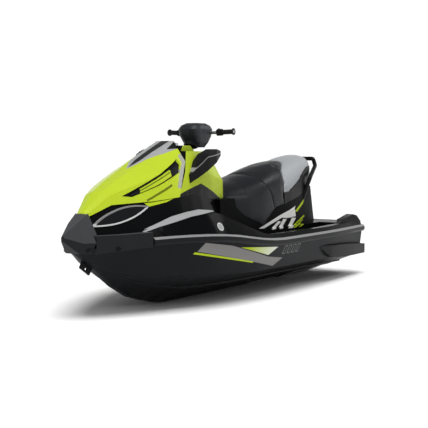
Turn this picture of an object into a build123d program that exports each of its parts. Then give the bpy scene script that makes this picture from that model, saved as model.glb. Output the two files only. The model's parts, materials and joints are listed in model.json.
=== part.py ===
from build123d import *

import os
from collections import namedtuple
from math import cos, radians, sin, sqrt

# Three-seat jet-driven personal watercraft, as an assembly of its moulded and mechanical pieces.
# Frame: +X to the bow, +Y to port, +Z up, millimetres. The origin is amidships on the waterline.
# In the tables and profiles a "station" is measured forward from the stern and a "height" up from
# the keel, so the numbers read like a boat's lines plan.

os.makedirs("parts", exist_ok=True)

# Overall frame
LENGTH = 3215
DRAFT = 300
STERN_X = -LENGTH / 2
KEEL_Z = -DRAFT
REACH = 1500  # longer than any cut needs to be

# Clearances
SEAT_GAP = 0.3  # between a piece and the curved face that carries it
SHUT_GAP = 6  # shut line round the hood
RUNNING = 0.3  # pin in its bore
PRESSED = 0.15  # tube in the fitting clamped to it
SWEEP_GAP = 5  # moving piece past a fixed one

# Hull and gunwale
TRANSOM = 100
KEEL_PAD = 26
STRAKE_WIDTH = 26
STRAKE_AT = 0.56  # of the way from keel to chine
RAIL_AFT = 386
RAIL_PEAK = 468
RAIL_BOW = 420
RAIL_RISE_FROM = 1500
RAIL_PEAK_AT = 2480
RAIL_HEIGHT = 52
RAIL_DEPTH = 24
SEAM_DROP = 20  # the seam lies low behind the rubbing strip
HULL_TOP = 620

HullLine = namedtuple("HullLine", "station keel chine_y chine_z chine_flat rail_y")
HULL_LINES = [
    HullLine(TRANSOM, 0, 425, 160, 30, 482),
    HullLine(900, 0, 470, 185, 32, 550),
    HullLine(1700, 0, 470, 190, 32, 558),
    HullLine(2250, 0, 400, 205, 30, 508),
    HullLine(2620, 80, 265, 232, 24, 370),
    HullLine(2920, 268, 85, 290, 10, 198),
    HullLine(3130, 410, 14, 414, 2, 72),
]

# Deck: gunwale coaming outside the footwells, then the cowl that carries the hood
DeckLine = namedtuple("DeckLine", "station top_y top_z")
DECK_LINES = [
    DeckLine(TRANSOM, 455, 448),
    DeckLine(900, 520, 440),
    DeckLine(1650, 525, 440),
    DeckLine(2020, 480, 545),
    DeckLine(2330, 412, 642),
    DeckLine(2520, 345, 612),
    DeckLine(2780, 218, 516),
    DeckLine(3040, 90, 505),
]
CowlLine = namedtuple("CowlLine", "station base_y base_z top_y top_z")
COWL_LINES = [
    CowlLine(1850, 262, 400, 182, 690),
    CowlLine(2150, 345, 430, 252, 735),
    CowlLine(2440, 352, 480, 286, 722),
    CowlLine(2640, 282, 480, 220, 698),
    CowlLine(2900, 168, 480, 114, 684),
    CowlLine(3040, 84, 480, 46, 612),
]
DECK_FOOT = 340
FOOTWELL_FLOOR = RAIL_AFT - SEAM_DROP - 1
FOOTWELL_AFT = 430
FOOTWELL_FORE = 2120
COAMING_WIDTH = 78
PLATFORM_HEIGHT = 436

# Seat pedestal, as a side profile inside a plan outline
PEDESTAL_HALF = 236
PEDESTAL_FOOT = 400
PEDESTAL_AFT = 285
PEDESTAL_FORE = 1900
CrestPoint = namedtuple("CrestPoint", "station height")
PEDESTAL_CREST = [
    CrestPoint(PEDESTAL_AFT, 440),
    CrestPoint(330, 520),
    CrestPoint(440, 742),
    CrestPoint(690, 665),
    CrestPoint(1153, 584),
    CrestPoint(1314, 468),
    CrestPoint(1414, 501),
    CrestPoint(1580, 562),
    CrestPoint(1690, 622),
    CrestPoint(1715, 690),
    CrestPoint(PEDESTAL_FORE, 690),
]

# Engine bay and engine
BAY_AFT = 1255
BAY_FLOOR = 100
BAY_ROOF = 441
COUPLING_ROOM = 45
ENGINE_ROOM = 20  # round the block, ahead of it and beside it
ENGINE_LENGTH = 560
ENGINE_WIDTH = 340
ENGINE_AFT = BAY_AFT + COUPLING_ROOM
ENGINE_HEIGHT = BAY_ROOF - BAY_FLOOR - ENGINE_ROOM / 2
BAY_FORE = ENGINE_AFT + ENGINE_LENGTH + ENGINE_ROOM
BAY_HALF = ENGINE_WIDTH / 2 + ENGINE_ROOM

# Front storage under the hood
TUB_AFT = 2330
TUB_FORE = 2700
TUB_HALF = 170
TUB_FLOOR = RAIL_PEAK + 2
TUB_TOP = 678
TUB_WALL = 6
HATCH_MARGIN = 45  # hole in the deck past the tub

# Hood
HOOD_WALL = 14
HOOD_REAR_LOW = (2446, 690)
HOOD_REAR_HIGH = (2160, 1165)
HoodLine = namedtuple("HoodLine", "station edge_y edge_z crease_y crease_z spine_y spine_z")
HOOD_LINES = [
    HoodLine(2120, 292, 742, 232, 1000, 74, 1126),
    HoodLine(2400, 290, 728, 226, 922, 66, 1010),
    HoodLine(2640, 222, 704, 190, 836, 56, 897),
    HoodLine(2900, 116, 690, 98, 746, 36, 770),
    HoodLine(3046, 44, 618, 39, 634, 14, 646),
]
HOOD_HINGE = (2148, 1064)
HINGE_PIN_R = 8
HINGE_KNUCKLE_R = 15
HINGE_TAB = [
    HOOD_HINGE,
    (HOOD_HINGE[0] + 104, HOOD_HINGE[1] - 24),
    (HOOD_HINGE[0] + 104, HOOD_HINGE[1] - 2),
    (HOOD_HINGE[0], HOOD_HINGE[1] + 12),
]
VENT_OUTLINE = [(2827, 742), (2322, 972), (2368, 880), (2560, 800), (2760, 735)]
LOUVRE_OUTLINE = [(2775, 748), (2410, 914), (2416, 872), (2572, 804), (2752, 742)]
VENT_DEPTH = 10
LOUVRE_DEPTH = 3

# Jet pump, on its own axis above the keel
PUMP_Z = 150
PUMP_BORE_R = 80
PUMP_WALL = 12
PUMP_FRONT = 700
PUMP_BARREL_END = 500
PUMP_OUTLET = 372
OUTLET_BORE_R = 46
OUTLET_WALL = 6
TUNNEL_HALF = 165
TUNNEL_ROOF = 352
IMPELLER_R = PUMP_BORE_R - SWEEP_GAP
IMPELLER_HUB_R = 30
SHAFT_R = 14
NOZZLE_LENGTH = 100
NOZZLE_EXIT_R = 43
NOZZLE_WALL = 7
NOZZLE_PIVOT = 378
BUCKET_PIVOT = 446
BUCKET_RADIUS = 182
BUCKET_WALL = 13
BUCKET_HALF = 112
BUCKET_LOW_ANGLE = 26
BUCKET_HIGH_ANGLE = 84
BUCKET_SPAN = BUCKET_HIGH_ANGLE - BUCKET_LOW_ANGLE
BUCKET_PIN_R = 9
NOZZLE_MOUTH_R = 64
NOZZLE_LIP = 4  # mouth ahead of the pivot
NOZZLE_PIN_R = 6
LUG_FROM = 80
STATOR_AFT = 470
STATOR_LENGTH = 90
IMPELLER_AFT = 566
IMPELLER_LENGTH = 100
RIDE_AFT = 190
RIDE_WALL = 14
INTAKE_FORE = 1225
INTAKE_AFT = 745
INTAKE_HALF = 72

# Steering
STEER_BASE = (1915, 1040)
STEER_RAKE = 20
BAR_R = 11
BAR_HALF = 282
GRIP_R = 17
GRIP_FLANGE = 7
GRIP_FROM = 0.42  # along the bar end, from its bend to its tip
BAR_BEND = (1800, 128, 1154)
BAR_TIP = (1782, BAR_HALF, 1160)
NECK_PIN_R = 24
PadLine = namedtuple("PadLine", "height middle half_length half_width")
PAD_LINES = [
    PadLine(1050, 1842, 56, 50),
    PadLine(1085, 1847, 86, 72),
    PadLine(1130, 1850, 112, 87),
    PadLine(1178, 1850, 123, 91),
    PadLine(1204, 1848, 106, 78),
    PadLine(1221, 1846, 70, 50),
]
PAD_CORNER = 0.7  # of the half width

# Console between hood and seat
ConsoleLine = namedtuple("ConsoleLine", "station low_y low_z mid_y mid_z top_y top_z")
CONSOLE_LINES = [
    ConsoleLine(1690, 140, 630, 152, 800, 30, 1010),
    ConsoleLine(1811, 182, 650, 184, 830, 62, 1024),
    ConsoleLine(1930, 214, 680, 208, 850, 116, 1030),
    ConsoleLine(2150, 254, 715, 243, 880, 188, 1036),
    ConsoleLine(2430, 285, 705, 256, 890, 204, 1036),
]
CONSOLE_TOP = 1022
CONSOLE_REAR_LOW = (1722, 620)
CONSOLE_REAR_HIGH = (1790, 1022)
DASH_RISE = 38
GLOVE_HALF = 82
GLOVE_LOW = 0.58  # up the rear face
GLOVE_HIGH = 0.92
GLOVE_DEPTH = 110
GLOVE_LID = 9

# Seat: hem, widest side and crown of each section, parted into front, rear and base
SeatLine = namedtuple("SeatLine", "station hem_y hem_z side_y side_z crown_z")
SEAT_LINES = [
    SeatLine(345, 90, 770, 95, 895, 976),
    SeatLine(380, 124, 740, 128, 880, 990),
    SeatLine(470, 160, 690, 166, 858, 1002),
    SeatLine(600, 190, 630, 190, 832, 985),
    SeatLine(720, 210, 590, 204, 800, 955),
    SeatLine(870, 235, 500, 222, 752, 938),
    SeatLine(1100, 246, 440, 240, 690, 900),
    SeatLine(1300, 248, 440, 246, 636, 852),
    SeatLine(1480, 236, 440, 232, 616, 806),
    SeatLine(1640, 205, 470, 198, 626, 782),
    SeatLine(1760, 165, 520, 160, 640, 768),
]
CROWN_POWER = 2.4
CROWN_STEPS = (0, 18, 36, 53, 68, 82)
SEAT_PARTING = [(690, 0), (705, 40), (901, 152), (985, 232), (985, 400)]
SEAT_PARTING_GAP = 1
BASE_LINE = [(1000, 702), (906, 706), (716, 782), (614, 850), (520, 892), (420, 908), (250, 908)]

# Bow bumper
NoseLine = namedtuple("NoseLine", "station foot_y foot_z belt_y belt_z top_y top_z")
NOSE_LINES = [
    NoseLine(3040, 108, 402, 146, 470, 50, 644),
    NoseLine(3125, 58, 404, 94, 470, 34, 586),
    NoseLine(3208, 8, 480, 14, 504, 6, 518),
]
WingLine = namedtuple("WingLine", "station inner_y outer_y foot_z top_z")
WING_LINES = [
    WingLine(2750, 262, 322, 430, 522),
    WingLine(2920, 160, 222, 415, 514),
    WingLine(3060, 80, 134, 402, 512),
]

# Sponsons
SponsonLine = namedtuple("SponsonLine", "station inner_y outer_y foot_z top_z")
SPONSON_LINES = [
    SponsonLine(78, 430, 498, 172, 250),
    SponsonLine(450, 430, 526, 178, 276),
    SponsonLine(780, 440, 540, 200, 292),
    SponsonLine(945, 470, 530, 284, 300),
]

# Shoulder accents: lower edge of each section, and their skin and that of the front bezels
AccentLine = namedtuple("AccentLine", "station low")
ACCENT_LINES = [
    AccentLine(2262, 630),
    AccentLine(2357, 617),
    AccentLine(2448, 604),
    AccentLine(2550, 577),
    AccentLine(2663, 546),
    AccentLine(2750, 516),
]
ACCENT_SKIN = 5
ACCENT_LAP = 22  # over the deck's shoulder
BEZEL_OUTLINE = [(3032, 562), (2850, 672), (2664, 676), (2850, 584)]
GRILLE_INSET = 9
BEZEL_SKIN = 8
EYE_BORE_R = 11

# Mirrors
MirrorLine = namedtuple("MirrorLine", "station inner_y outer_y foot_z top_z")
MIRROR_LINES = [
    MirrorLine(1985, 250, 306, 992, 1024),
    MirrorLine(2050, 230, 318, 945, 1036),
    MirrorLine(2130, 218, 312, 898, 1004),
    MirrorLine(2200, 218, 296, 858, 948),
    MirrorLine(2280, 226, 266, 812, 866),
]


def section(station):
    """Plane across the boat: local x to port, local y up from the keel, facing the bow."""
    return Plane(origin=(STERN_X + station, 0, KEEL_Z), x_dir=(0, 1, 0), z_dir=(1, 0, 0))


def side(y=0):
    """Plane along the boat: local x forward from the stern, local y up from the keel."""
    return Plane(origin=(STERN_X, y, KEEL_Z), x_dir=(1, 0, 0), z_dir=(0, -1, 0))


def level(height):
    """Level plane: local x forward from the stern, local y to port."""
    return Plane(origin=(STERN_X, 0, KEEL_Z + height), x_dir=(1, 0, 0), z_dir=(0, 0, 1))


def both_sides(half):
    """Closed outline of a section from its port half, listed from the bottom up."""
    return half + [(-y, z) for y, z in reversed(half)]


def rail_height(station):
    """Height of the gunwale seam: level aft, an S of two arcs up to its peak, one arc to the bow."""
    half_run = (RAIL_PEAK_AT - RAIL_RISE_FROM) / 2
    half_rise = (RAIL_PEAK - RAIL_AFT) / 2

    def arc(run, rise, along):
        radius = (run**2 + rise**2) / (2 * rise)
        return radius - sqrt(radius**2 - along**2)

    if station <= RAIL_RISE_FROM:
        return RAIL_AFT
    if station <= RAIL_RISE_FROM + half_run:
        return RAIL_AFT + arc(half_run, half_rise, station - RAIL_RISE_FROM)
    if station <= RAIL_PEAK_AT:
        return RAIL_PEAK - arc(half_run, half_rise, RAIL_PEAK_AT - station)
    return RAIL_PEAK - arc(LENGTH - RAIL_PEAK_AT, RAIL_PEAK - RAIL_BOW, station - RAIL_PEAK_AT)


def seam_region(edge_height):
    """Adds to a BuildLine the gunwale seam, closed at edge_height, above or below it."""
    aft = RAIL_AFT - SEAM_DROP
    peak = RAIL_PEAK - SEAM_DROP
    bow = RAIL_BOW - SEAM_DROP
    middle = ((RAIL_RISE_FROM + RAIL_PEAK_AT) / 2, (aft + peak) / 2)
    Line((-REACH, aft), (RAIL_RISE_FROM, aft))
    TangentArc((RAIL_RISE_FROM, aft), middle, tangent=(1, 0))
    TangentArc((RAIL_PEAK_AT, peak), middle, tangent=(-1, 0))
    TangentArc((RAIL_PEAK_AT, peak), (LENGTH, bow), tangent=(1, 0))
    Polyline(
        (LENGTH, bow),
        (LENGTH + REACH, bow),
        (LENGTH + REACH, edge_height),
        (-REACH, edge_height),
        (-REACH, aft),
    )


def hull_outline(line):
    """Deep-V section: keel pad, lifting strake, chine flat, topside."""
    bottom_run = line.chine_y - KEEL_PAD if line.chine_y > KEEL_PAD else line.chine_y
    pad = KEEL_PAD if line.chine_y > KEEL_PAD * 2 else line.chine_y / 3
    slope = (line.chine_z - line.keel) / (line.chine_y - pad)
    strake_y = pad + STRAKE_AT * (line.chine_y - pad)
    strake_z = line.keel + slope * (strake_y - pad)
    width = STRAKE_WIDTH * min(1, bottom_run / 400)
    topside = rail_height(line.station)
    half = [
        (pad, line.keel),
        (strake_y, strake_z),
        (strake_y + width, strake_z),
        (strake_y + width, strake_z + slope * width),
        (line.chine_y, line.chine_z),
        (line.chine_y + line.chine_flat, line.chine_z + line.chine_flat / 5),
        (line.rail_y, topside),
        (line.rail_y, HULL_TOP),
    ]
    return both_sides(half)


def faired(lines, spacing):
    """A table's lines with further ones between them, on smooth curves that never overshoot."""
    stations = [line.station for line in lines]
    runs = [after - before for before, after in zip(stations, stations[1:])]

    def slopes(values):
        steps = [(after - before) / run for before, after, run in zip(values, values[1:], runs)]
        inner = [0 if m * n <= 0 else 2 * m * n / (m + n) for m, n in zip(steps, steps[1:])]
        return [steps[0]] + inner + [steps[-1]]

    columns = list(zip(*lines))
    tangents = [slopes(column) for column in columns]
    result = []
    for row, run in enumerate(runs):
        count = max(1, round(run / spacing))
        for part in range(count):
            t = part / count
            values = []
            for column, tangent in zip(columns, tangents):
                low, high = column[row], column[row + 1]
                start = low * (1 + 2 * t) * (1 - t) ** 2 + high * t * t * (3 - 2 * t)
                bend = run * (tangent[row] * t * (1 - t) ** 2 - tangent[row + 1] * t * t * (1 - t))
                values.append(start + bend)
            values[0] = stations[row] + part * run / count
            result.append(type(lines[0])(*values))
    return result + [lines[-1]]


def lofted(lines, outline, spacing=130):
    """Solid through one closed outline per line of a table, faired between them."""
    with BuildPart() as body:
        for line in faired(lines, spacing):
            with BuildSketch(section(line.station)):
                with BuildLine():
                    Polyline(*outline(line), close=True)
                make_face()
        loft(ruled=True)
    return body.part


def between(lines, station):
    """The faired line of a table nearest to a station."""
    return min(faired(lines, 10), key=lambda line: abs(line.station - station))


def rail_outline(line):
    """Rubbing strip over the gunwale seam: flat inside, with both outer corners eased."""
    middle = rail_height(line.station)
    half = RAIL_HEIGHT / 2
    return [
        (line.rail_y - RAIL_DEPTH, middle - half),
        (line.rail_y + RAIL_DEPTH / 2, middle - half),
        (line.rail_y + RAIL_DEPTH, middle - half / 2),
        (line.rail_y + RAIL_DEPTH, middle + half / 2),
        (line.rail_y + RAIL_DEPTH / 2, middle + half),
        (line.rail_y - RAIL_DEPTH, middle + half),
    ]


def behind_line(low, high, offset=0):
    """Corners, in a side plane, of everything aft of the slanted line from low to high."""
    run = high[0] - low[0]
    rise = high[1] - low[1]
    span = sqrt(run**2 + rise**2)
    shift_x = offset * rise / span
    shift_z = -offset * run / span
    foot = (low[0] - run + shift_x, low[1] - rise + shift_z)
    head = (high[0] + run + shift_x, high[1] + rise + shift_z)
    return [foot, head, (head[0] - REACH, head[1]), (head[0] - REACH, foot[1])]


def deck_outline(line):
    seam = rail_height(line.station)
    rail_y = between(HULL_LINES, line.station).rail_y
    return both_sides([(rail_y, DECK_FOOT), (rail_y, seam + 14), (line.top_y, line.top_z)])


def cowl_outline(line):
    return both_sides([(line.base_y, line.base_z), (line.top_y, line.top_z)])


def hood_outline(line):
    half = [
        (line.edge_y, line.edge_z),
        (line.crease_y, line.crease_z),
        (line.spine_y, line.spine_z),
    ]
    return both_sides(half)


def hood_grown(line):
    half = [
        (line.edge_y + SHUT_GAP, line.edge_z - SHUT_GAP),
        (line.crease_y + SHUT_GAP, line.crease_z + SHUT_GAP),
        (line.spine_y + SHUT_GAP, line.spine_z + SHUT_GAP),
    ]
    return both_sides(half)


def hood_hollow(line):
    half = [
        (line.edge_y - HOOD_WALL, line.edge_z - 60),
        (line.crease_y - HOOD_WALL, line.crease_z - 0.7 * HOOD_WALL),
        (line.spine_y, line.spine_z - 1.3 * HOOD_WALL),
    ]
    return both_sides(half)


def three_step(line):
    """Outline from the first, second and third (y, z) pair of a table line."""
    pairs = [(line[1], line[2]), (line[3], line[4]), (line[5], line[6])]
    return both_sides(pairs)


def port_box(line):
    return [
        (line.inner_y, line.foot_z),
        (line.outer_y, line.foot_z),
        (line.outer_y, line.top_z),
        (line.inner_y, line.top_z),
    ]


def pedestal_profile(lift=0):
    """Side profile of the seat pedestal, its crest raised by lift."""
    crest = [(point.station, point.height + lift) for point in PEDESTAL_CREST]
    return [(PEDESTAL_AFT, PEDESTAL_FOOT)] + crest + [(PEDESTAL_FORE, PEDESTAL_FOOT)]


def seat_outline(line):
    """Section of the seat: straight hem, then a rounded crown."""
    half = [(line.hem_y, line.hem_z)]
    for step in CROWN_STEPS:
        across = cos(radians(step)) ** (2 / CROWN_POWER)
        up = sin(radians(step)) ** (2 / CROWN_POWER)
        half.append((line.side_y * across, line.side_z + (line.crown_z - line.side_z) * up))
    return both_sides(half)


def parting_plan(shift):
    """Plan of everything behind the parting of the seat, moved forward by shift."""
    port = [(x + shift, y) for x, y in SEAT_PARTING]
    starboard = [(x, -y) for x, y in reversed(port[1:])]
    return port + [(-REACH, 400), (-REACH, -400)] + starboard


def hood_inset(line, depth):
    """Section of the hood, its skin moved in by depth."""
    half = [
        (line.edge_y - depth, line.edge_z),
        (line.crease_y - depth, line.crease_z - 0.7 * depth),
        (line.spine_y - 0.2 * depth, line.spine_z - 1.3 * depth),
    ]
    return both_sides(half)


def accent_outline(line):
    """Thin strip up the deck's flank from a lower edge and over its shoulder."""
    flank = between(DECK_LINES, line.station)
    foot_y = between(HULL_LINES, line.station).rail_y
    foot_z = rail_height(line.station) + 14
    share = (line.low - foot_z) / (flank.top_z - foot_z)
    low_y = foot_y + (flank.top_y - foot_y) * share
    return [
        (low_y - 20, line.low - 4),
        (low_y + ACCENT_SKIN, line.low),
        (flank.top_y + ACCENT_SKIN, flank.top_z + ACCENT_SKIN / 2),
        (flank.top_y - ACCENT_LAP, flank.top_z + ACCENT_SKIN),
        (flank.top_y - ACCENT_LAP, flank.top_z - 8),
    ]


def footwell_plan():
    return [
        (FOOTWELL_AFT, PEDESTAL_HALF + 14),
        (FOOTWELL_AFT, 428),
        (900, 550 - COAMING_WIDTH),
        (1650, 558 - COAMING_WIDTH),
        (1900, 468),
        (FOOTWELL_FORE, 415),
        (FOOTWELL_FORE, 350),
        (1850, 272),
        (1700, PEDESTAL_HALF + 14),
    ]


def steer_plane(along):
    """Plane square to the raked steering axis: local x ahead, local y to port."""
    rake = radians(STEER_RAKE)
    axis = Vector(-sin(rake), 0, cos(rake))
    foot = Vector(STERN_X + STEER_BASE[0], 0, KEEL_Z + STEER_BASE[1])
    return Plane(origin=foot + axis * along, x_dir=(cos(rake), 0, sin(rake)), z_dir=axis)


def bar_points(hand):
    """Middle, bend and tip of one half of the handlebar."""
    start = Vector(STERN_X + BAR_BEND[0], 0, KEEL_Z + BAR_BEND[2])
    bend = Vector(STERN_X + BAR_BEND[0], hand * BAR_BEND[1], KEEL_Z + BAR_BEND[2])
    tip = Vector(STERN_X + BAR_TIP[0], hand * BAR_TIP[1], KEEL_Z + BAR_TIP[2])
    return start, bend, tip


def rear_face(up, inward=0):
    """Point in a side plane on the console's rear face: up it by a share, into it by millimetres."""
    run = CONSOLE_REAR_HIGH[0] - CONSOLE_REAR_LOW[0]
    rise = CONSOLE_REAR_HIGH[1] - CONSOLE_REAR_LOW[1]
    span = sqrt(run**2 + rise**2)
    x = CONSOLE_REAR_LOW[0] + up * run + inward * rise / span
    z = CONSOLE_REAR_LOW[1] + up * rise - inward * run / span
    return (x, z)


def glove_pocket():
    return [
        rear_face(GLOVE_LOW + 0.03, -5),
        rear_face(GLOVE_LOW + 0.03, GLOVE_DEPTH),
        rear_face(GLOVE_HIGH - 0.03, GLOVE_DEPTH),
        rear_face(GLOVE_HIGH - 0.03, -5),
    ]


def glove_lid_profile():
    return [
        rear_face(GLOVE_LOW, -SEAT_GAP),
        rear_face(GLOVE_HIGH, -SEAT_GAP),
        rear_face(GLOVE_HIGH, -SEAT_GAP - GLOVE_LID),
        rear_face(GLOVE_LOW, -SEAT_GAP - GLOVE_LID),
    ]


def glove_hinge():
    return rear_face(GLOVE_LOW, -SEAT_GAP - GLOVE_LID)


def gauge_pod():
    """Raised instrument pod on the console top, and the shoulders beside the hood's hinge."""
    with BuildPart() as pod:
        with BuildSketch(side()):
            with BuildLine():
                Polyline(
                    (2028, CONSOLE_TOP - 5),
                    (2056, CONSOLE_TOP + 28),
                    (2098, CONSOLE_TOP + 34),
                    (2110, CONSOLE_TOP - 5),
                    close=True,
                )
            make_face()
        extrude(amount=64, both=True)
        for hand in (1, -1):
            with BuildSketch(side(hand * 66)):
                with BuildLine():
                    Polyline(
                        (2060, CONSOLE_TOP - 5),
                        (2112, CONSOLE_TOP + DASH_RISE),
                        (2200, CONSOLE_TOP + DASH_RISE),
                        (2222, CONSOLE_TOP - 5),
                        close=True,
                    )
                make_face()
            extrude(amount=-hand * 76)
    return pod.part


def pump_axis():
    return Axis((STERN_X, 0, KEEL_Z + PUMP_Z), (1, 0, 0))


def pump_wall():
    """Half section of the pump body, radius measured from its own axis, as points in the XZ plane."""
    outline = [
        (PUMP_FRONT, PUMP_BORE_R),
        (PUMP_BARREL_END, PUMP_BORE_R),
        (PUMP_OUTLET + 30, OUTLET_BORE_R),
        (PUMP_OUTLET, OUTLET_BORE_R),
        (PUMP_OUTLET, OUTLET_BORE_R + OUTLET_WALL),
        (PUMP_OUTLET + 34, OUTLET_BORE_R + OUTLET_WALL),
        (PUMP_BARREL_END, PUMP_BORE_R + PUMP_WALL),
        (PUMP_FRONT - 16, PUMP_BORE_R + PUMP_WALL),
        (PUMP_FRONT - 16, PUMP_BORE_R + 2.6 * PUMP_WALL),
        (PUMP_FRONT, PUMP_BORE_R + 2.6 * PUMP_WALL),
    ]
    return [(STERN_X + x, KEEL_Z + PUMP_Z + r) for x, r in outline]


def pump_point(station, radius):
    return Vector(STERN_X + station, 0, KEEL_Z + PUMP_Z + radius)


def nozzle_wall():
    """Half section of the steering nozzle: a mouth round the pump outlet, tapering to its exit."""
    aft = NOZZLE_PIVOT - NOZZLE_LENGTH
    outline = [
        (NOZZLE_PIVOT + NOZZLE_LIP, NOZZLE_MOUTH_R),
        (NOZZLE_PIVOT - 18, NOZZLE_MOUTH_R),
        (aft, NOZZLE_EXIT_R),
        (aft, NOZZLE_EXIT_R + NOZZLE_WALL),
        (NOZZLE_PIVOT - 18, NOZZLE_MOUTH_R + NOZZLE_WALL),
        (NOZZLE_PIVOT + NOZZLE_LIP, NOZZLE_MOUTH_R + NOZZLE_WALL),
    ]
    return [(STERN_X + x, KEEL_Z + PUMP_Z + r) for x, r in outline]


def bucket_point(angle, out):
    """Point in a side plane on the reverse bucket: angle above level aft, out from its inner face."""
    radius = BUCKET_RADIUS + out
    return (BUCKET_PIVOT - radius * cos(radians(angle)), PUMP_Z + radius * sin(radians(angle)))


def bucket_arm(edge):
    """Corner of the bucket's arm beside its pivot."""
    middle = (BUCKET_LOW_ANGLE + BUCKET_HIGH_ANGLE) / 2 + edge * 90
    return (BUCKET_PIVOT - 20 * cos(radians(middle)), PUMP_Z + 20 * sin(radians(middle)))


def ride_outline():
    """V section of the ride plate, in line with the hull bottom either side of the tunnel."""
    rise = HULL_LINES[0].chine_z / (HULL_LINES[0].chine_y - KEEL_PAD)
    edge = rise * (TUNNEL_HALF - KEEL_PAD)
    return [
        (KEEL_PAD, 2),
        (TUNNEL_HALF, edge + 2),
        (TUNNEL_HALF, edge + 2 + RIDE_WALL),
        (KEEL_PAD, 2 + RIDE_WALL),
        (-KEEL_PAD, 2 + RIDE_WALL),
        (-TUNNEL_HALF, edge + 2 + RIDE_WALL),
        (-TUNNEL_HALF, edge + 2),
        (-KEEL_PAD, 2),
    ]


def cowl_grown(line):
    skin = BEZEL_SKIN
    return both_sides([(line.base_y + skin, line.base_z), (line.top_y + skin, line.top_z)])


pieces = {}

# Footwells, engine bay and front storage pocket pass through hull and deck alike
with BuildPart() as hollows:
    for hand in (1, -1):
        with BuildSketch(level(FOOTWELL_FLOOR)):
            with BuildLine():
                Polyline(*[(x, hand * y) for x, y in footwell_plan()], close=True)
            make_face()
        extrude(amount=REACH)
    with BuildSketch(level(TUB_FLOOR)):
        with Locations(((TUB_AFT + TUB_FORE) / 2, 0)):
            Rectangle(TUB_FORE - TUB_AFT, 2 * TUB_HALF)
    extrude(amount=REACH)
    with BuildSketch(level(BAY_FLOOR)):
        with Locations(((BAY_AFT + BAY_FORE) / 2, 0)):
            Rectangle(BAY_FORE - BAY_AFT, 2 * BAY_HALF)
    extrude(amount=BAY_ROOF - BAY_FLOOR)

with BuildPart() as deck:
    add(lofted(DECK_LINES, deck_outline))
    for hand in (1, -1):
        with BuildSketch(side(hand * 440)):
            with BuildLine():
                Polyline((105, 400), (105, 440), (180, 492), (254, 506), (430, 470), (660, 400), close=True)
            make_face()
        extrude(amount=30, both=True)
    with BuildSketch(level(PLATFORM_HEIGHT)):
        with Locations((TRANSOM + 75, 0)):
            Rectangle(180, 780)
    extrude(amount=40, mode=Mode.SUBTRACT)
    with BuildSketch(side()):
        with BuildLine():
            seam_region(-REACH)
        make_face()
    extrude(amount=REACH, both=True, mode=Mode.SUBTRACT)
    add(hollows.part, mode=Mode.SUBTRACT)
    with BuildSketch(level(TUB_FLOOR - SEAM_DROP - HATCH_MARGIN)):
        with Locations(((TUB_AFT + TUB_FORE) / 2, 0)):
            Rectangle(TUB_FORE - TUB_AFT + 2 * HATCH_MARGIN, 2 * TUB_HALF + 2 * HATCH_MARGIN)
    extrude(amount=REACH, mode=Mode.SUBTRACT)
pieces["deck"] = deck

with BuildPart() as seat_pedestal:
    with BuildSketch(side()):
        with BuildLine():
            Polyline(*pedestal_profile(), close=True)
        make_face()
    extrude(amount=REACH, both=True)
    with BuildSketch(level(0)):
        with BuildLine():
            Polyline(
                (280, 120), (450, 170), (900, PEDESTAL_HALF), (1905, PEDESTAL_HALF + 10),
                (1905, -PEDESTAL_HALF - 10), (900, -PEDESTAL_HALF), (450, -170), (280, -120),
                close=True,
            )
        make_face()
    extrude(amount=REACH, mode=Mode.INTERSECT)
    add(deck.part, mode=Mode.SUBTRACT)
    add(hollows.part, mode=Mode.SUBTRACT)
pieces["seat_pedestal"] = seat_pedestal

with BuildPart() as cowl:
    add(lofted(COWL_LINES, cowl_outline))
    add(deck.part, mode=Mode.SUBTRACT)
    add(seat_pedestal.part, mode=Mode.SUBTRACT)
    add(hollows.part, mode=Mode.SUBTRACT)
pieces["cowl"] = cowl

# Hull: deep-V shell below the gunwale seam, with the pump tunnel, intake and shaft bore
with BuildPart() as hull:
    add(lofted(HULL_LINES, hull_outline))
    with BuildSketch(side()):
        with BuildLine():
            seam_region(HULL_TOP + REACH)
        make_face()
    extrude(amount=REACH, both=True, mode=Mode.SUBTRACT)
    with BuildSketch(section(TRANSOM - 1)):
        with BuildLine():
            Polyline(
                (-TUNNEL_HALF, -10),
                (-TUNNEL_HALF, TUNNEL_ROOF - 30),
                (-TUNNEL_HALF + 30, TUNNEL_ROOF),
                (TUNNEL_HALF - 30, TUNNEL_ROOF),
                (TUNNEL_HALF, TUNNEL_ROOF - 30),
                (TUNNEL_HALF, -10),
                close=True,
            )
        make_face()
    extrude(amount=PUMP_FRONT - TRANSOM + 1, mode=Mode.SUBTRACT)
    with BuildSketch(side()):
        with BuildLine():
            Polyline(
                (PUMP_FRONT - 1, PUMP_Z - PUMP_BORE_R),
                (INTAKE_AFT, -10),
                (INTAKE_FORE, -10),
                (INTAKE_FORE, 12),
                (PUMP_FRONT - 1, PUMP_Z + PUMP_BORE_R),
                close=True,
            )
        make_face()
    extrude(amount=INTAKE_HALF, both=True, mode=Mode.SUBTRACT)
    add(hollows.part, mode=Mode.SUBTRACT)
    with BuildSketch(section(PUMP_FRONT)):
        with Locations((0, PUMP_Z)):
            Circle(SHAFT_R + RUNNING)
    extrude(amount=BAY_AFT - PUMP_FRONT + 1, mode=Mode.SUBTRACT)
pieces["hull"] = hull

# Moulded trim round the hull
with BuildPart() as hood_room:
    add(lofted(HOOD_LINES, hood_grown))

with BuildPart() as bow_bumper:
    add(lofted(NOSE_LINES, three_step))
    wing = lofted(WING_LINES, port_box)
    add(wing)
    add(mirror(wing, about=Plane.XZ))
    add(hull.part, mode=Mode.SUBTRACT)
    add(deck.part, mode=Mode.SUBTRACT)
    add(cowl.part, mode=Mode.SUBTRACT)
    add(hood_room.part, mode=Mode.SUBTRACT)
pieces["bow_bumper"] = bow_bumper

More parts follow.
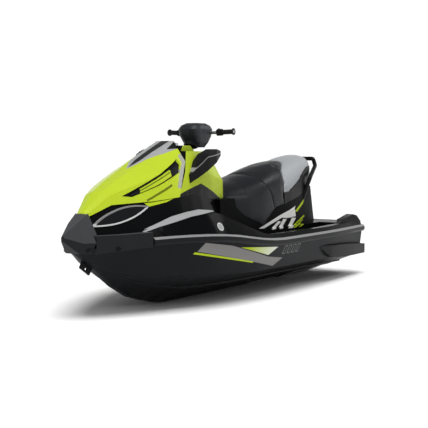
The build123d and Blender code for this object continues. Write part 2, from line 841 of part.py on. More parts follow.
with BuildPart() as rail_half:
    add(lofted(HULL_LINES[:4] + [between(HULL_LINES, WING_LINES[0].station - SHUT_GAP)], rail_outline))
    for shift in (0, 2 * SEAT_GAP):
        add(hull.part.moved(Location((shift, shift, 0))), mode=Mode.SUBTRACT)
        add(deck.part.moved(Location((shift, shift, 0))), mode=Mode.SUBTRACT)
with BuildPart() as gunwale_rails:
    keep = rail_half.part.solids().sort_by(SortBy.VOLUME)[-1]
    add(keep)
    add(mirror(keep, about=Plane.XZ))
pieces["gunwale_rails"] = gunwale_rails

with BuildPart() as sponson_half:
    add(lofted(SPONSON_LINES, port_box))
    add(hull.part, mode=Mode.SUBTRACT)
with BuildPart() as sponsons:
    keep = sponson_half.part.solids().sort_by(SortBy.VOLUME)[-1].moved(Location((0, SEAT_GAP, 0)))
    add(keep)
    add(mirror(keep, about=Plane.XZ))
pieces["sponsons"] = sponsons

# Hood over the front storage, hinged at its rear top
with BuildPart() as hood:
    add(lofted(HOOD_LINES, hood_outline))
    inner = [HOOD_LINES[0]._replace(station=2100)] + HOOD_LINES[1:-1]
    inner = inner + [HOOD_LINES[-1]._replace(station=HOOD_LINES[-1].station - HOOD_WALL)]
    add(lofted(inner, hood_hollow), mode=Mode.SUBTRACT)
    with BuildSketch(side()):
        with BuildLine():
            Polyline(*behind_line(HOOD_REAR_LOW, HOOD_REAR_HIGH), close=True)
        make_face()
    extrude(amount=REACH, both=True, mode=Mode.SUBTRACT)
    for hand in (1, -1):
        with BuildSketch(side(hand * 32)):
            with BuildLine():
                Polyline(*HINGE_TAB, close=True)
            make_face()
            with Locations(HOOD_HINGE):
                Circle(HINGE_KNUCKLE_R)
        extrude(amount=11, both=True)
    with BuildSketch(side()):
        with Locations(HOOD_HINGE):
            Circle(HINGE_PIN_R + RUNNING)
    extrude(amount=60, both=True, mode=Mode.SUBTRACT)
    for hand in (1, -1):
        with BuildSketch(side(hand * 100)):
            with BuildLine():
                Polyline(*VENT_OUTLINE, close=True)
            make_face()
        extrude(amount=-hand * REACH, mode=Mode.SUBTRACT)
pieces["hood"] = hood


def hood_panel(outline, near, far, inward):
    """Panel inside the hood's skin between two depths, cut to an outline drawn in inward of it."""
    with BuildPart() as panel:
        add(lofted(HOOD_LINES, lambda line: hood_inset(line, near)))
        add(lofted(HOOD_LINES, lambda line: hood_inset(line, far)), mode=Mode.SUBTRACT)
        with BuildSketch(side(100)):
            with BuildLine():
                Polyline(*outline, close=True)
            make_face()
            offset(amount=-inward)
        extrude(amount=-REACH, mode=Mode.INTERSECT)
    return panel.part.solids().sort_by(SortBy.VOLUME)[-1]


with BuildPart() as hood_vents:
    backing = hood_panel(VENT_OUTLINE, VENT_DEPTH, HOOD_WALL, SEAT_GAP)
    add(backing)
    add(mirror(backing, about=Plane.XZ))
pieces["hood_vents"] = hood_vents

with BuildPart() as hood_louvres:
    blade = hood_panel(LOUVRE_OUTLINE, LOUVRE_DEPTH, VENT_DEPTH, SEAT_GAP)
    add(blade)
    add(mirror(blade, about=Plane.XZ))
pieces["hood_louvres"] = hood_louvres

with BuildPart() as console:
    add(lofted(CONSOLE_LINES, three_step))
    with BuildSketch(level(CONSOLE_TOP)):
        with Locations((2000, 0)):
            Rectangle(1200, 900)
    extrude(amount=200, mode=Mode.SUBTRACT)
    with BuildSketch(side()):
        with BuildLine():
            Polyline(*behind_line(CONSOLE_REAR_LOW, CONSOLE_REAR_HIGH), close=True)
        make_face()
    extrude(amount=REACH, both=True, mode=Mode.SUBTRACT)
    with BuildSketch(side()):
        with BuildLine():
            Polyline(*behind_line(HOOD_REAR_LOW, HOOD_REAR_HIGH, -SHUT_GAP), close=True)
        make_face()
    extrude(amount=REACH, both=True, mode=Mode.INTERSECT)
    for below in (deck, cowl, seat_pedestal):
        add(below.part, mode=Mode.SUBTRACT)
    with BuildSketch(side()):
        with BuildLine():
            Polyline(*glove_pocket(), close=True)
        make_face()
    extrude(amount=GLOVE_HALF - 12, both=True, mode=Mode.SUBTRACT)
    with BuildSketch(steer_plane(-80)):
        Circle(NECK_PIN_R + RUNNING)
    extrude(amount=200, mode=Mode.SUBTRACT)
    add(gauge_pod())
pieces["console"] = console

# Hinge bracket of the hood
with BuildPart() as hood_hinge:
    for hand in (1, -1):
        with BuildSketch(side(hand * 52)):
            with BuildLine():
                Polyline(
                    (HOOD_HINGE[0] - 28, CONSOLE_TOP),
                    (HOOD_HINGE[0] + 24, CONSOLE_TOP),
                    (HOOD_HINGE[0] + 12, HOOD_HINGE[1] + 14),
                    (HOOD_HINGE[0] - 12, HOOD_HINGE[1] + 14),
                    close=True,
                )
            make_face()
        extrude(amount=5, both=True)
    with BuildSketch(side()):
        with Locations(HOOD_HINGE):
            Circle(HINGE_PIN_R)
    extrude(amount=57, both=True)
pieces["hood_hinge"] = hood_hinge

with BuildPart() as glove_lid:
    with BuildSketch(side()):
        with BuildLine():
            Polyline(*glove_lid_profile(), close=True)
        make_face()
    extrude(amount=GLOVE_HALF, both=True)
    with BuildSketch(side()):
        with Locations(glove_hinge()):
            Circle(6)
    extrude(amount=GLOVE_HALF, both=True)
    fillet(glove_lid.edges().filter_by(Axis.Y).sort_by(Axis.Z)[-1], 3)
pieces["glove_lid"] = glove_lid

# Steering: neck, pad, bar and its fittings
with BuildPart() as handlebar:
    for hand in (1, -1):
        start, bend, tip = bar_points(hand)
        with BuildLine():
            Line(start, bend)
            Line(bend, tip)
        with BuildSketch(Plane(origin=start, z_dir=bend - start)):
            Circle(BAR_R)
        sweep(transition=Transition.ROUND)
pieces["handlebar"] = handlebar

with BuildPart() as steering_neck:
    with BuildSketch(steer_plane(12)):
        Circle(38)
    with BuildSketch(steer_plane(50)):
        Circle(32)
    loft()
    with BuildSketch(steer_plane(-70)):
        Circle(NECK_PIN_R)
    extrude(amount=110)
pieces["steering_neck"] = steering_neck

with BuildPart() as handlebar_pad:
    for line in PAD_LINES:
        with BuildSketch(level(line.height)):
            with Locations((line.middle, 0)):
                RectangleRounded(2 * line.half_length, 2 * line.half_width, PAD_CORNER * line.half_width)
    loft(ruled=True)
    add(handlebar.part, mode=Mode.SUBTRACT)
    add(steering_neck.part, mode=Mode.SUBTRACT)
pieces["handlebar_pad"] = handlebar_pad

with BuildPart() as grips:
    for hand in (1, -1):
        start, bend, tip = bar_points(hand)
        with BuildSketch(Plane(origin=bend + (tip - bend) * GRIP_FROM, z_dir=tip - bend)):
            Circle(GRIP_R)
            Circle(BAR_R + PRESSED, mode=Mode.SUBTRACT)
        extrude(amount=(tip - bend).length * (1 - GRIP_FROM))
        with BuildSketch(Plane(origin=tip, z_dir=bend - tip)):
            Circle(GRIP_R + GRIP_FLANGE)
            Circle(BAR_R + PRESSED, mode=Mode.SUBTRACT)
        extrude(amount=GRIP_FLANGE)
pieces["grips"] = grips

with BuildPart() as switch_housings:
    for hand in (1, -1):
        start, bend, tip = bar_points(hand)
        with BuildSketch(Plane(origin=bend + (tip - bend) * (GRIP_FROM - 0.26), z_dir=tip - bend)):
            Circle(24)
            Circle(BAR_R + PRESSED, mode=Mode.SUBTRACT)
        extrude(amount=(tip - bend).length * 0.25)
pieces["switch_housings"] = switch_housings

# Seats
with BuildPart() as pedestal_room:
    with BuildSketch(side()):
        with BuildLine():
            Polyline(*pedestal_profile(SEAT_GAP), close=True)
        make_face()
    extrude(amount=REACH, both=True)

with BuildPart() as seat_whole:
    add(lofted(SEAT_LINES, seat_outline))
    add(pedestal_room.part, mode=Mode.SUBTRACT)
    with BuildSketch(side()):
        with BuildLine():
            Polyline(*behind_line(CONSOLE_REAR_LOW, CONSOLE_REAR_HIGH, -SEAT_GAP), close=True)
        make_face()
    extrude(amount=REACH, both=True, mode=Mode.INTERSECT)

with BuildPart() as seat_front:
    add(seat_whole.part)
    with BuildSketch(level(0)):
        with BuildLine():
            Polyline(*parting_plan(SEAT_PARTING_GAP), close=True)
        make_face()
    extrude(amount=REACH, mode=Mode.SUBTRACT)
pieces["seat_front"] = seat_front

with BuildPart() as seat_behind:
    add(seat_whole.part)
    with BuildSketch(level(0)):
        with BuildLine():
            Polyline(*parting_plan(0), close=True)
        make_face()
    extrude(amount=REACH, mode=Mode.INTERSECT)

with BuildPart() as below_line:
    with BuildSketch(side()):
        with BuildLine():
            Polyline(*BASE_LINE, (-REACH, BASE_LINE[-1][1]), (-REACH, 0), (BASE_LINE[0][0], 0), close=True)
        make_face()
    extrude(amount=REACH, both=True)

with BuildPart() as seat_rear:
    add(seat_behind.part)
    add(below_line.part.moved(Location((0, 0, SEAT_GAP))), mode=Mode.SUBTRACT)
pieces["seat_rear"] = seat_rear

with BuildPart() as seat_base:
    add(seat_behind.part)
    add(below_line.part, mode=Mode.INTERSECT)
pieces["seat_base"] = seat_base

# Grab handle behind the rear seat
with BuildPart() as grab_handle:
    path = [(600, 180, 640), (520, 208, 812), (282, 128, 908), (290, 112, 966)]
    points = [Vector(STERN_X + x, y, KEEL_Z + z) for x, y, z in path]
    points = points + [Vector(p.X, -p.Y, p.Z) for p in reversed(points)]
    with BuildLine():
        FilletPolyline(*points, radius=20)
    with BuildSketch(Plane(origin=points[0], z_dir=points[1] - points[0])):
        Circle(17)
    sweep()
    add(seat_base.part, mode=Mode.SUBTRACT)
    add(seat_pedestal.part, mode=Mode.SUBTRACT)
pieces["grab_handle"] = grab_handle

with BuildPart() as tow_hook:
    with BuildSketch(side()):
        with BuildLine():
            Polyline((205, PLATFORM_HEIGHT), (262, PLATFORM_HEIGHT), (262, 470), (232, 520), (196, 540), (190, 524), (212, 500), (212, 470),
                     close=True)
        make_face()
    extrude(amount=18, both=True)
pieces["tow_hook"] = tow_hook

with BuildPart() as footwell_mats:
    for hand in (1, -1):
        with BuildSketch(level(FOOTWELL_FLOOR)):
            with BuildLine():
                Polyline(*[(x, hand * y) for x, y in footwell_plan()], close=True)
            make_face()
            offset(amount=-5)
        extrude(amount=5)
pieces["footwell_mats"] = footwell_mats

with BuildPart() as stern_mat:
    with BuildSketch(level(PLATFORM_HEIGHT)):
        with Locations((TRANSOM + 78, 0)):
            RectangleRounded(150, 740, 20)
    extrude(amount=5)
    add(tow_hook.part, mode=Mode.SUBTRACT)
pieces["stern_mat"] = stern_mat

# Mirrors
with BuildPart() as mirror_half:
    add(lofted(MIRROR_LINES, port_box))
    add(console.part, mode=Mode.SUBTRACT)
    with BuildSketch(side()):
        with BuildLine():
            Polyline(*behind_line(HOOD_REAR_LOW, HOOD_REAR_HIGH, -SHUT_GAP), close=True)
        make_face()
    extrude(amount=REACH, both=True, mode=Mode.INTERSECT)
with BuildPart() as mirror_housings:
    keep = mirror_half.part.solids().sort_by(SortBy.VOLUME)[-1].moved(Location((-0.2, SEAT_GAP, 0)))
    add(keep)
    add(mirror(keep, about=Plane.XZ))
pieces["mirror_housings"] = mirror_housings

with BuildPart() as mirror_glasses:
    first = MIRROR_LINES[0]
    middle = ((first.inner_y + first.outer_y) / 2, (first.foot_z + first.top_z) / 2)
    for hand in (1, -1):
        with BuildSketch(section(first.station - 0.2)):
            with Locations((hand * (middle[0] + SEAT_GAP), middle[1])):
                Rectangle(first.outer_y - first.inner_y - 12, first.top_z - first.foot_z - 12)
        extrude(amount=-3)
pieces["mirror_glasses"] = mirror_glasses

# Jet pump, nozzle, bucket, impeller and shaft
with BuildPart() as pump_housing:
    with BuildSketch(Plane.XZ):
        with BuildLine():
            Polyline(*pump_wall(), close=True)
        make_face()
    revolve(axis=pump_axis())
    with BuildSketch(section(STATOR_AFT)):
        with Locations((0, PUMP_Z)):
            Circle(IMPELLER_HUB_R)
            with PolarLocations(PUMP_BORE_R / 2 + 8, 6):
                Rectangle(PUMP_BORE_R - 8, 6)
    extrude(amount=STATOR_LENGTH)
    for hand in (1, -1):
        with BuildSketch(side(hand * 50)):
            with Locations((BUCKET_PIVOT, PUMP_Z)):
                Circle(BUCKET_PIN_R)
        extrude(amount=-hand * (BUCKET_HALF + BUCKET_WALL + 2 - 50))
        with BuildSketch(side(hand * 50)):
            with Locations((BUCKET_PIVOT, PUMP_Z)):
                Circle(BUCKET_PIN_R + 7)
        extrude(amount=-hand * (BUCKET_HALF - SWEEP_GAP - 50))
        with BuildSketch(level(PUMP_Z + hand * LUG_FROM)):
            with Locations(((NOZZLE_PIVOT + PUMP_BARREL_END) / 2 - 8, 0)):
                Rectangle(PUMP_BARREL_END - NOZZLE_PIVOT + 16, 26)
        extrude(amount=hand * 9)
        with BuildSketch(level(PUMP_Z + hand * (LUG_FROM + 2))):
            with Locations((NOZZLE_PIVOT, 0)):
                Circle(NOZZLE_PIN_R)
        extrude(amount=-hand * 12)
pieces["pump_housing"] = pump_housing

with BuildPart() as steering_nozzle:
    with BuildSketch(Plane.XZ):
        with BuildLine():
            Polyline(*nozzle_wall(), close=True)
        make_face()
    revolve(axis=pump_axis())
    for hand in (1, -1):
        with BuildSketch(level(PUMP_Z + hand * (NOZZLE_MOUTH_R + 2))):
            with Locations((NOZZLE_PIVOT, 0)):
                Circle(NOZZLE_PIN_R + 7)
        extrude(amount=hand * (LUG_FROM - NOZZLE_MOUTH_R - 4))
        with BuildSketch(level(PUMP_Z + hand * (NOZZLE_MOUTH_R - 6))):
            with Locations((NOZZLE_PIVOT, 0)):
                Circle(NOZZLE_PIN_R + RUNNING)
        extrude(amount=hand * 40, mode=Mode.SUBTRACT)
pieces["steering_nozzle"] = steering_nozzle

with BuildPart() as reverse_bucket:
    with BuildSketch(side()):
        with BuildLine():
            CenterArc((BUCKET_PIVOT, PUMP_Z), BUCKET_RADIUS, 180 - BUCKET_HIGH_ANGLE, BUCKET_SPAN)
            CenterArc((BUCKET_PIVOT, PUMP_Z), BUCKET_RADIUS + BUCKET_WALL, 180 - BUCKET_HIGH_ANGLE, BUCKET_SPAN)
            Line(bucket_point(BUCKET_LOW_ANGLE, 0), bucket_point(BUCKET_LOW_ANGLE, BUCKET_WALL))
            Line(bucket_point(BUCKET_HIGH_ANGLE, 0), bucket_point(BUCKET_HIGH_ANGLE, BUCKET_WALL))
        make_face()
    extrude(amount=BUCKET_HALF + BUCKET_WALL, both=True)
    for hand in (1, -1):
        with BuildSketch(side(hand * BUCKET_HALF)):
            with BuildLine():
                Line(bucket_arm(1), bucket_point(BUCKET_HIGH_ANGLE, BUCKET_WALL - 1))
                CenterArc(
                    (BUCKET_PIVOT, PUMP_Z), BUCKET_RADIUS + BUCKET_WALL - 1, 180 - BUCKET_HIGH_ANGLE, BUCKET_SPAN
                )
                Line(bucket_point(BUCKET_LOW_ANGLE, BUCKET_WALL - 1), bucket_arm(-1))
                Line(bucket_arm(-1), bucket_arm(1))
            make_face()
            with Locations((BUCKET_PIVOT, PUMP_Z)):
                Circle(26)
                Circle(BUCKET_PIN_R + RUNNING, mode=Mode.SUBTRACT)
        extrude(amount=-hand * BUCKET_WALL)
pieces["reverse_bucket"] = reverse_bucket

with BuildPart() as impeller:
    with BuildSketch(section(IMPELLER_AFT)):
        with Locations((0, PUMP_Z)):
            Circle(IMPELLER_HUB_R)
    extrude(amount=IMPELLER_LENGTH)
    for turn in range(4):
        with BuildSketch(
            Plane(
                origin=pump_point(IMPELLER_AFT + IMPELLER_LENGTH / 2, 0),
                x_dir=(1, 0, 0),
                z_dir=(0, cos(radians(90 * turn)), sin(radians(90 * turn))),
            )
        ):
            Rectangle(IMPELLER_LENGTH - 6, 7, rotation=38)
        extrude(amount=IMPELLER_R)
    with BuildSketch(section(IMPELLER_AFT)):
        with Locations((0, PUMP_Z)):
            Circle(IMPELLER_R)
    extrude(amount=IMPELLER_LENGTH, mode=Mode.INTERSECT)
    with BuildSketch(section(IMPELLER_AFT)):
        with Locations((0, PUMP_Z)):
            Circle(SHAFT_R)
    extrude(amount=IMPELLER_LENGTH, mode=Mode.SUBTRACT)
pieces["impeller"] = impeller

with BuildPart() as drive_shaft:
    with BuildSketch(section(IMPELLER_AFT)):
        with Locations((0, PUMP_Z)):
            Circle(SHAFT_R)
    extrude(amount=ENGINE_AFT - SWEEP_GAP - IMPELLER_AFT)
    with BuildSketch(section(BAY_AFT + 6)):
        with Locations((0, PUMP_Z)):
            Circle(38)
    extrude(amount=ENGINE_AFT - SWEEP_GAP - BAY_AFT - 6)
pieces["drive_shaft"] = drive_shaft

with BuildPart() as engine:
    with BuildSketch(level(BAY_FLOOR)):
        with Locations((ENGINE_AFT + ENGINE_LENGTH / 2, 0)):
            Rectangle(ENGINE_LENGTH, ENGINE_WIDTH)
    extrude(amount=ENGINE_HEIGHT)
    fillet(engine.edges().filter_by(Axis.Z), 20)
    fillet(engine.edges().group_by(Axis.Z)[-1], 15)
pieces["engine"] = engine

with BuildPart() as storage_tub:
    with BuildSketch(level(TUB_FLOOR)):
        with Locations(((TUB_AFT + TUB_FORE) / 2, 0)):
            Rectangle(TUB_FORE - TUB_AFT, 2 * TUB_HALF)
    extrude(amount=TUB_TOP - TUB_FLOOR)
    with BuildSketch(level(TUB_FLOOR + TUB_WALL)):
        with Locations(((TUB_AFT + TUB_FORE) / 2, 0)):
            Rectangle(TUB_FORE - TUB_AFT - 2 * TUB_WALL, 2 * TUB_HALF - 2 * TUB_WALL)
    extrude(amount=REACH, mode=Mode.SUBTRACT)
pieces["storage_tub"] = storage_tub

with BuildPart() as ride_plate:
    with BuildSketch(section(RIDE_AFT)):
        with BuildLine():
            Polyline(*ride_outline(), close=True)
        make_face()
    extrude(amount=PUMP_FRONT - RIDE_AFT)
pieces["ride_plate"] = ride_plate

with BuildPart() as intake_grate:
    for lane in (-36, 0, 36):
        with BuildSketch(side(lane)):
            with BuildLine():
                Polyline((INTAKE_AFT + 6, 26), (INTAKE_FORE - 90, 26), (INTAKE_FORE - 90, 36), (INTAKE_AFT + 6, 36),
                         close=True)
            make_face()
        extrude(amount=6, both=True)
    for station in (INTAKE_AFT + 12, INTAKE_FORE - 96):
        with BuildSketch(section(station)):
            with Locations((0, 31)):
                Rectangle(2 * INTAKE_HALF, 10)
        extrude(amount=6, both=True)
    add(hull.part, mode=Mode.SUBTRACT)
pieces["intake_grate"] = intake_grate

# Shoulder accents, front bezels and their grilles
with BuildPart() as accent_half:
    add(lofted(ACCENT_LINES, accent_outline))
    add(deck.part, mode=Mode.SUBTRACT)
    add(cowl.part, mode=Mode.SUBTRACT)
with BuildPart() as accent_panels:
    keep = accent_half.part.solids().sort_by(SortBy.VOLUME)[-1].moved(Location((0, SEAT_GAP, SEAT_GAP)))
    add(keep)
    add(mirror(keep, about=Plane.XZ))
pieces["accent_panels"] = accent_panels


def bezel_solid(inward):
    """Skin of the cowl's front flank inside the bezel outline, drawn in by inward."""
    with BuildPart() as bezel:
        add(lofted(COWL_LINES, cowl_grown))
        with BuildSketch(side()):
            with BuildLine():
                fore, over, aft, under = BEZEL_OUTLINE
                ThreePointArc(fore, over, aft)
                ThreePointArc(aft, under, fore)
            make_face()
            if inward:
                offset(amount=-inward)
        extrude(amount=-REACH, mode=Mode.INTERSECT)
        add(lofted(COWL_LINES, cowl_outline), mode=Mode.SUBTRACT)
        for beside in (deck, hood_room, bow_bumper):
            add(beside.part, mode=Mode.SUBTRACT)
    return bezel.part.solids().sort_by(SortBy.VOLUME)[-1].moved(Location((0.2, SEAT_GAP, 0)))


with BuildPart() as bezel_half:
    add(bezel_solid(0))
    add(bezel_solid(GRILLE_INSET), mode=Mode.SUBTRACT)
with BuildPart() as intake_bezels:
    keep = bezel_half.part.solids().sort_by(SortBy.VOLUME)[-1]
    add(keep)
    add(mirror(keep, about=Plane.XZ))
pieces["intake_bezels"] = intake_bezels

with BuildPart() as intake_grilles:
    keep = bezel_solid(GRILLE_INSET + SEAT_GAP).moved(Location((0, -SEAT_GAP / 2, 0)))
    add(keep)
    add(mirror(keep, about=Plane.XZ))
pieces["intake_grilles"] = intake_grilles

# Mooring eyes and stern knobs
with BuildPart() as bow_eye:
    with BuildSketch(side()):
        with BuildLine():
            Polyline((2955, 297), (3042, 356), (3065, 312), (2985, 258), close=True)
        make_face()
        with Locations((3014, 301)):
            Circle(EYE_BORE_R, mode=Mode.SUBTRACT)
    extrude(amount=6, both=True)
    add(hull.part, mode=Mode.SUBTRACT)
pieces["bow_eye"] = bow_eye

with BuildPart() as stern_eyes:
    for hand in (1, -1):
        with BuildSketch(side(hand * 330)):
            with Locations((TRANSOM - 18, 280)):
                SlotOverall(70, 40)
                Circle(EYE_BORE_R, mode=Mode.SUBTRACT)
            with Locations((TRANSOM + 20, 280)):
                Rectangle(40, 60, mode=Mode.SUBTRACT)
        extrude(amount=6, both=True)
pieces["stern_eyes"] = stern_eyes

with BuildPart() as stern_bumpers:
    for hand in (1, -1):
        with BuildSketch(level(RAIL_AFT - 26)):
            with Locations((TRANSOM - 22, hand * 440)):
                SlotOverall(60, 40)
            with Locations((TRANSOM + 50, hand * 440)):
                Rectangle(100, 80, mode=Mode.SUBTRACT)
        extrude(amount=48)
pieces["stern_bumpers"] = stern_bumpers

for name, piece in pieces.items():
    piece.part.label = name
    export_step(piece.part, f"parts/{name}.step")
    print(name, len(piece.part.solids()), round(piece.part.volume / 1e6, 2), "litres", piece.part.is_valid)
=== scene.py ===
"""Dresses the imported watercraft: studio, camera, finishes, graphics, upholstery and small fittings."""
import json
import math

import bpy
import numpy as np
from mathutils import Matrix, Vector


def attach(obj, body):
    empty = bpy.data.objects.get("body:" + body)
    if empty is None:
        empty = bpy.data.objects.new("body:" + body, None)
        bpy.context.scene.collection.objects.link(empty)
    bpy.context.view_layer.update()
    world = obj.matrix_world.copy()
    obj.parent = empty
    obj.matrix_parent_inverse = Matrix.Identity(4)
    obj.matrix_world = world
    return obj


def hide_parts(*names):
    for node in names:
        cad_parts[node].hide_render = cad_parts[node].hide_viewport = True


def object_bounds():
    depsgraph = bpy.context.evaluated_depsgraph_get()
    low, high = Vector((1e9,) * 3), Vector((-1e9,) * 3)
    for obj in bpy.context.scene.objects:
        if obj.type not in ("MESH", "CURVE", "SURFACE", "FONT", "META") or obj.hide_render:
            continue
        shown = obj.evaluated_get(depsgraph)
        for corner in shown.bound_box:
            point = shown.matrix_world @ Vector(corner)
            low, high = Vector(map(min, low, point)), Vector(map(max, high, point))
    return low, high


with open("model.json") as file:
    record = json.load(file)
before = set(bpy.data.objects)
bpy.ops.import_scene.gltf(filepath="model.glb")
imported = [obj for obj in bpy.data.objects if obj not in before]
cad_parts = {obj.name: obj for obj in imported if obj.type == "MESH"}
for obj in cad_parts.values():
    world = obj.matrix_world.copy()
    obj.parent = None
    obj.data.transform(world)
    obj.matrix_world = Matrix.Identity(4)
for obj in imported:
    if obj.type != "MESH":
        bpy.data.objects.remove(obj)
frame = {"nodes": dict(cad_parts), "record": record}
cad_box = [list(corner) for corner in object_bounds()]
nodes = frame["nodes"]
scene = bpy.context.scene

# Lines-plan coordinates of the source, in millimetres, turned into the row frame in metres
STERN = -1.6075
KEEL = -0.3


def at(station, y, height):
    """Row-frame point from a station ahead of the stern, a half-breadth and a height over the keel."""
    return Vector((STERN + station / 1000, y / 1000, KEEL + height / 1000))


def profile(points):
    """Side-view outline (station, height) in metres of the row frame."""
    return [(STERN + station / 1000, KEEL + height / 1000) for station, height in points]


def plan(points):
    """Plan outline (station, half-breadth) in metres of the row frame."""
    return [(STERN + station / 1000, y / 1000) for station, y in points]


# Camera: the photograph's view, from the port bow, slightly above the deck
CAMERA_YAW = math.radians(55.735)  # from the beam towards the bow
CAMERA_PITCH = math.radians(3.721)
CAMERA_DISTANCE = 6.676
CAMERA_LENS = 76.24
CAMERA_SENSOR = 36.0
CAMERA_REACH = 100.0
CAMERA_TARGET = at(1616.3, 0, 562.6)

scene.view_settings.view_transform = "Standard"
camera_data = bpy.data.cameras.new("camera")
camera_data.lens = CAMERA_LENS
camera_data.sensor_width = CAMERA_SENSOR
camera_data.clip_end = CAMERA_REACH
camera = bpy.data.objects.new("camera", camera_data)
back = Vector((
    math.sin(CAMERA_YAW) * math.cos(CAMERA_PITCH),
    math.cos(CAMERA_YAW) * math.cos(CAMERA_PITCH),
    math.sin(CAMERA_PITCH),
))
camera.location = CAMERA_TARGET + CAMERA_DISTANCE * back
camera.rotation_euler = back.to_track_quat("Z", "Y").to_euler()
scene.collection.objects.link(camera)
scene.camera = camera

# Colours, linear, from dark to light
HOLE_SHADE_BLACK = (0.002, 0.002, 0.002)
BLACK = (0.0040, 0.0042, 0.0047)
KEEL_SHADE_BLACK = (0.0042, 0.0044, 0.005)
LENS_BLACK = (0.0055, 0.006, 0.007)
TRIM_BLACK = (0.0058, 0.006, 0.0066)
TOP_BLACK = (0.008, 0.008, 0.009)
VINYL_BLACK = (0.0080, 0.0088, 0.0112)
GRIP_BLACK = (0.010, 0.010, 0.0105)
RAIL_BLACK = (0.010, 0.0104, 0.0115)
CHARCOAL = (0.0105, 0.0112, 0.0125)
SLATE = (0.0125, 0.0132, 0.0148)
PAD_GREY = (0.020, 0.0212, 0.0245)
SPONSON_TOP_HIGHLIGHT = (0.035, 0.036, 0.038)
PAD_SIDE_HIGHLIGHT = (0.038, 0.040, 0.046)
SLATE_TOP_HIGHLIGHT = (0.055, 0.0575, 0.062)
MAT_GREY = (0.075, 0.076, 0.079)
RIDGE_GREY = (0.11, 0.111, 0.114)
BAR_GREY = (0.16, 0.16, 0.16)
BEZEL_GREY = (0.20, 0.20, 0.20)
WARM_GREY = (0.215, 0.21, 0.205)
RAIL_TOP_HIGHLIGHT = (0.22, 0.22, 0.222)
STRIPE_GREY = (0.24, 0.24, 0.235)
DISC_GREY = (0.30, 0.30, 0.31)
VINYL_GREY = (0.31, 0.325, 0.34)
SILVER = (0.325, 0.33, 0.335)
ALLOY = (0.36, 0.37, 0.38)
STEEL = (0.42, 0.42, 0.43)
# the deck disc's rim, and the painted highlight on the intake bezels' lower edge
LIGHT_GREY = (0.55, 0.55, 0.55)
PALE = (0.78, 0.78, 0.76)
GLASS = (0.8, 0.81, 0.82)
FLOOR_WHITE = (0.93, 0.93, 0.93)
LIME = (0.44, 0.56, 0.022)
LIME_SHADE = (0.12, 0.155, 0.006)
LIME_GREY = (0.34, 0.35, 0.29)

# Surface constants shared by every finish, lengths in metres
LEAST_ROUGHNESS = 0.02
COAT_ROUGHNESS = 0.06
SLOW_DETAIL = 4.0
GRAIN_DETAIL = 2.0
GRAIN_DEPTH = 0.0005
REGION_EDGE = 0.0012  # width over which one painted colour turns into the next
DISC_EDGE = 0.001


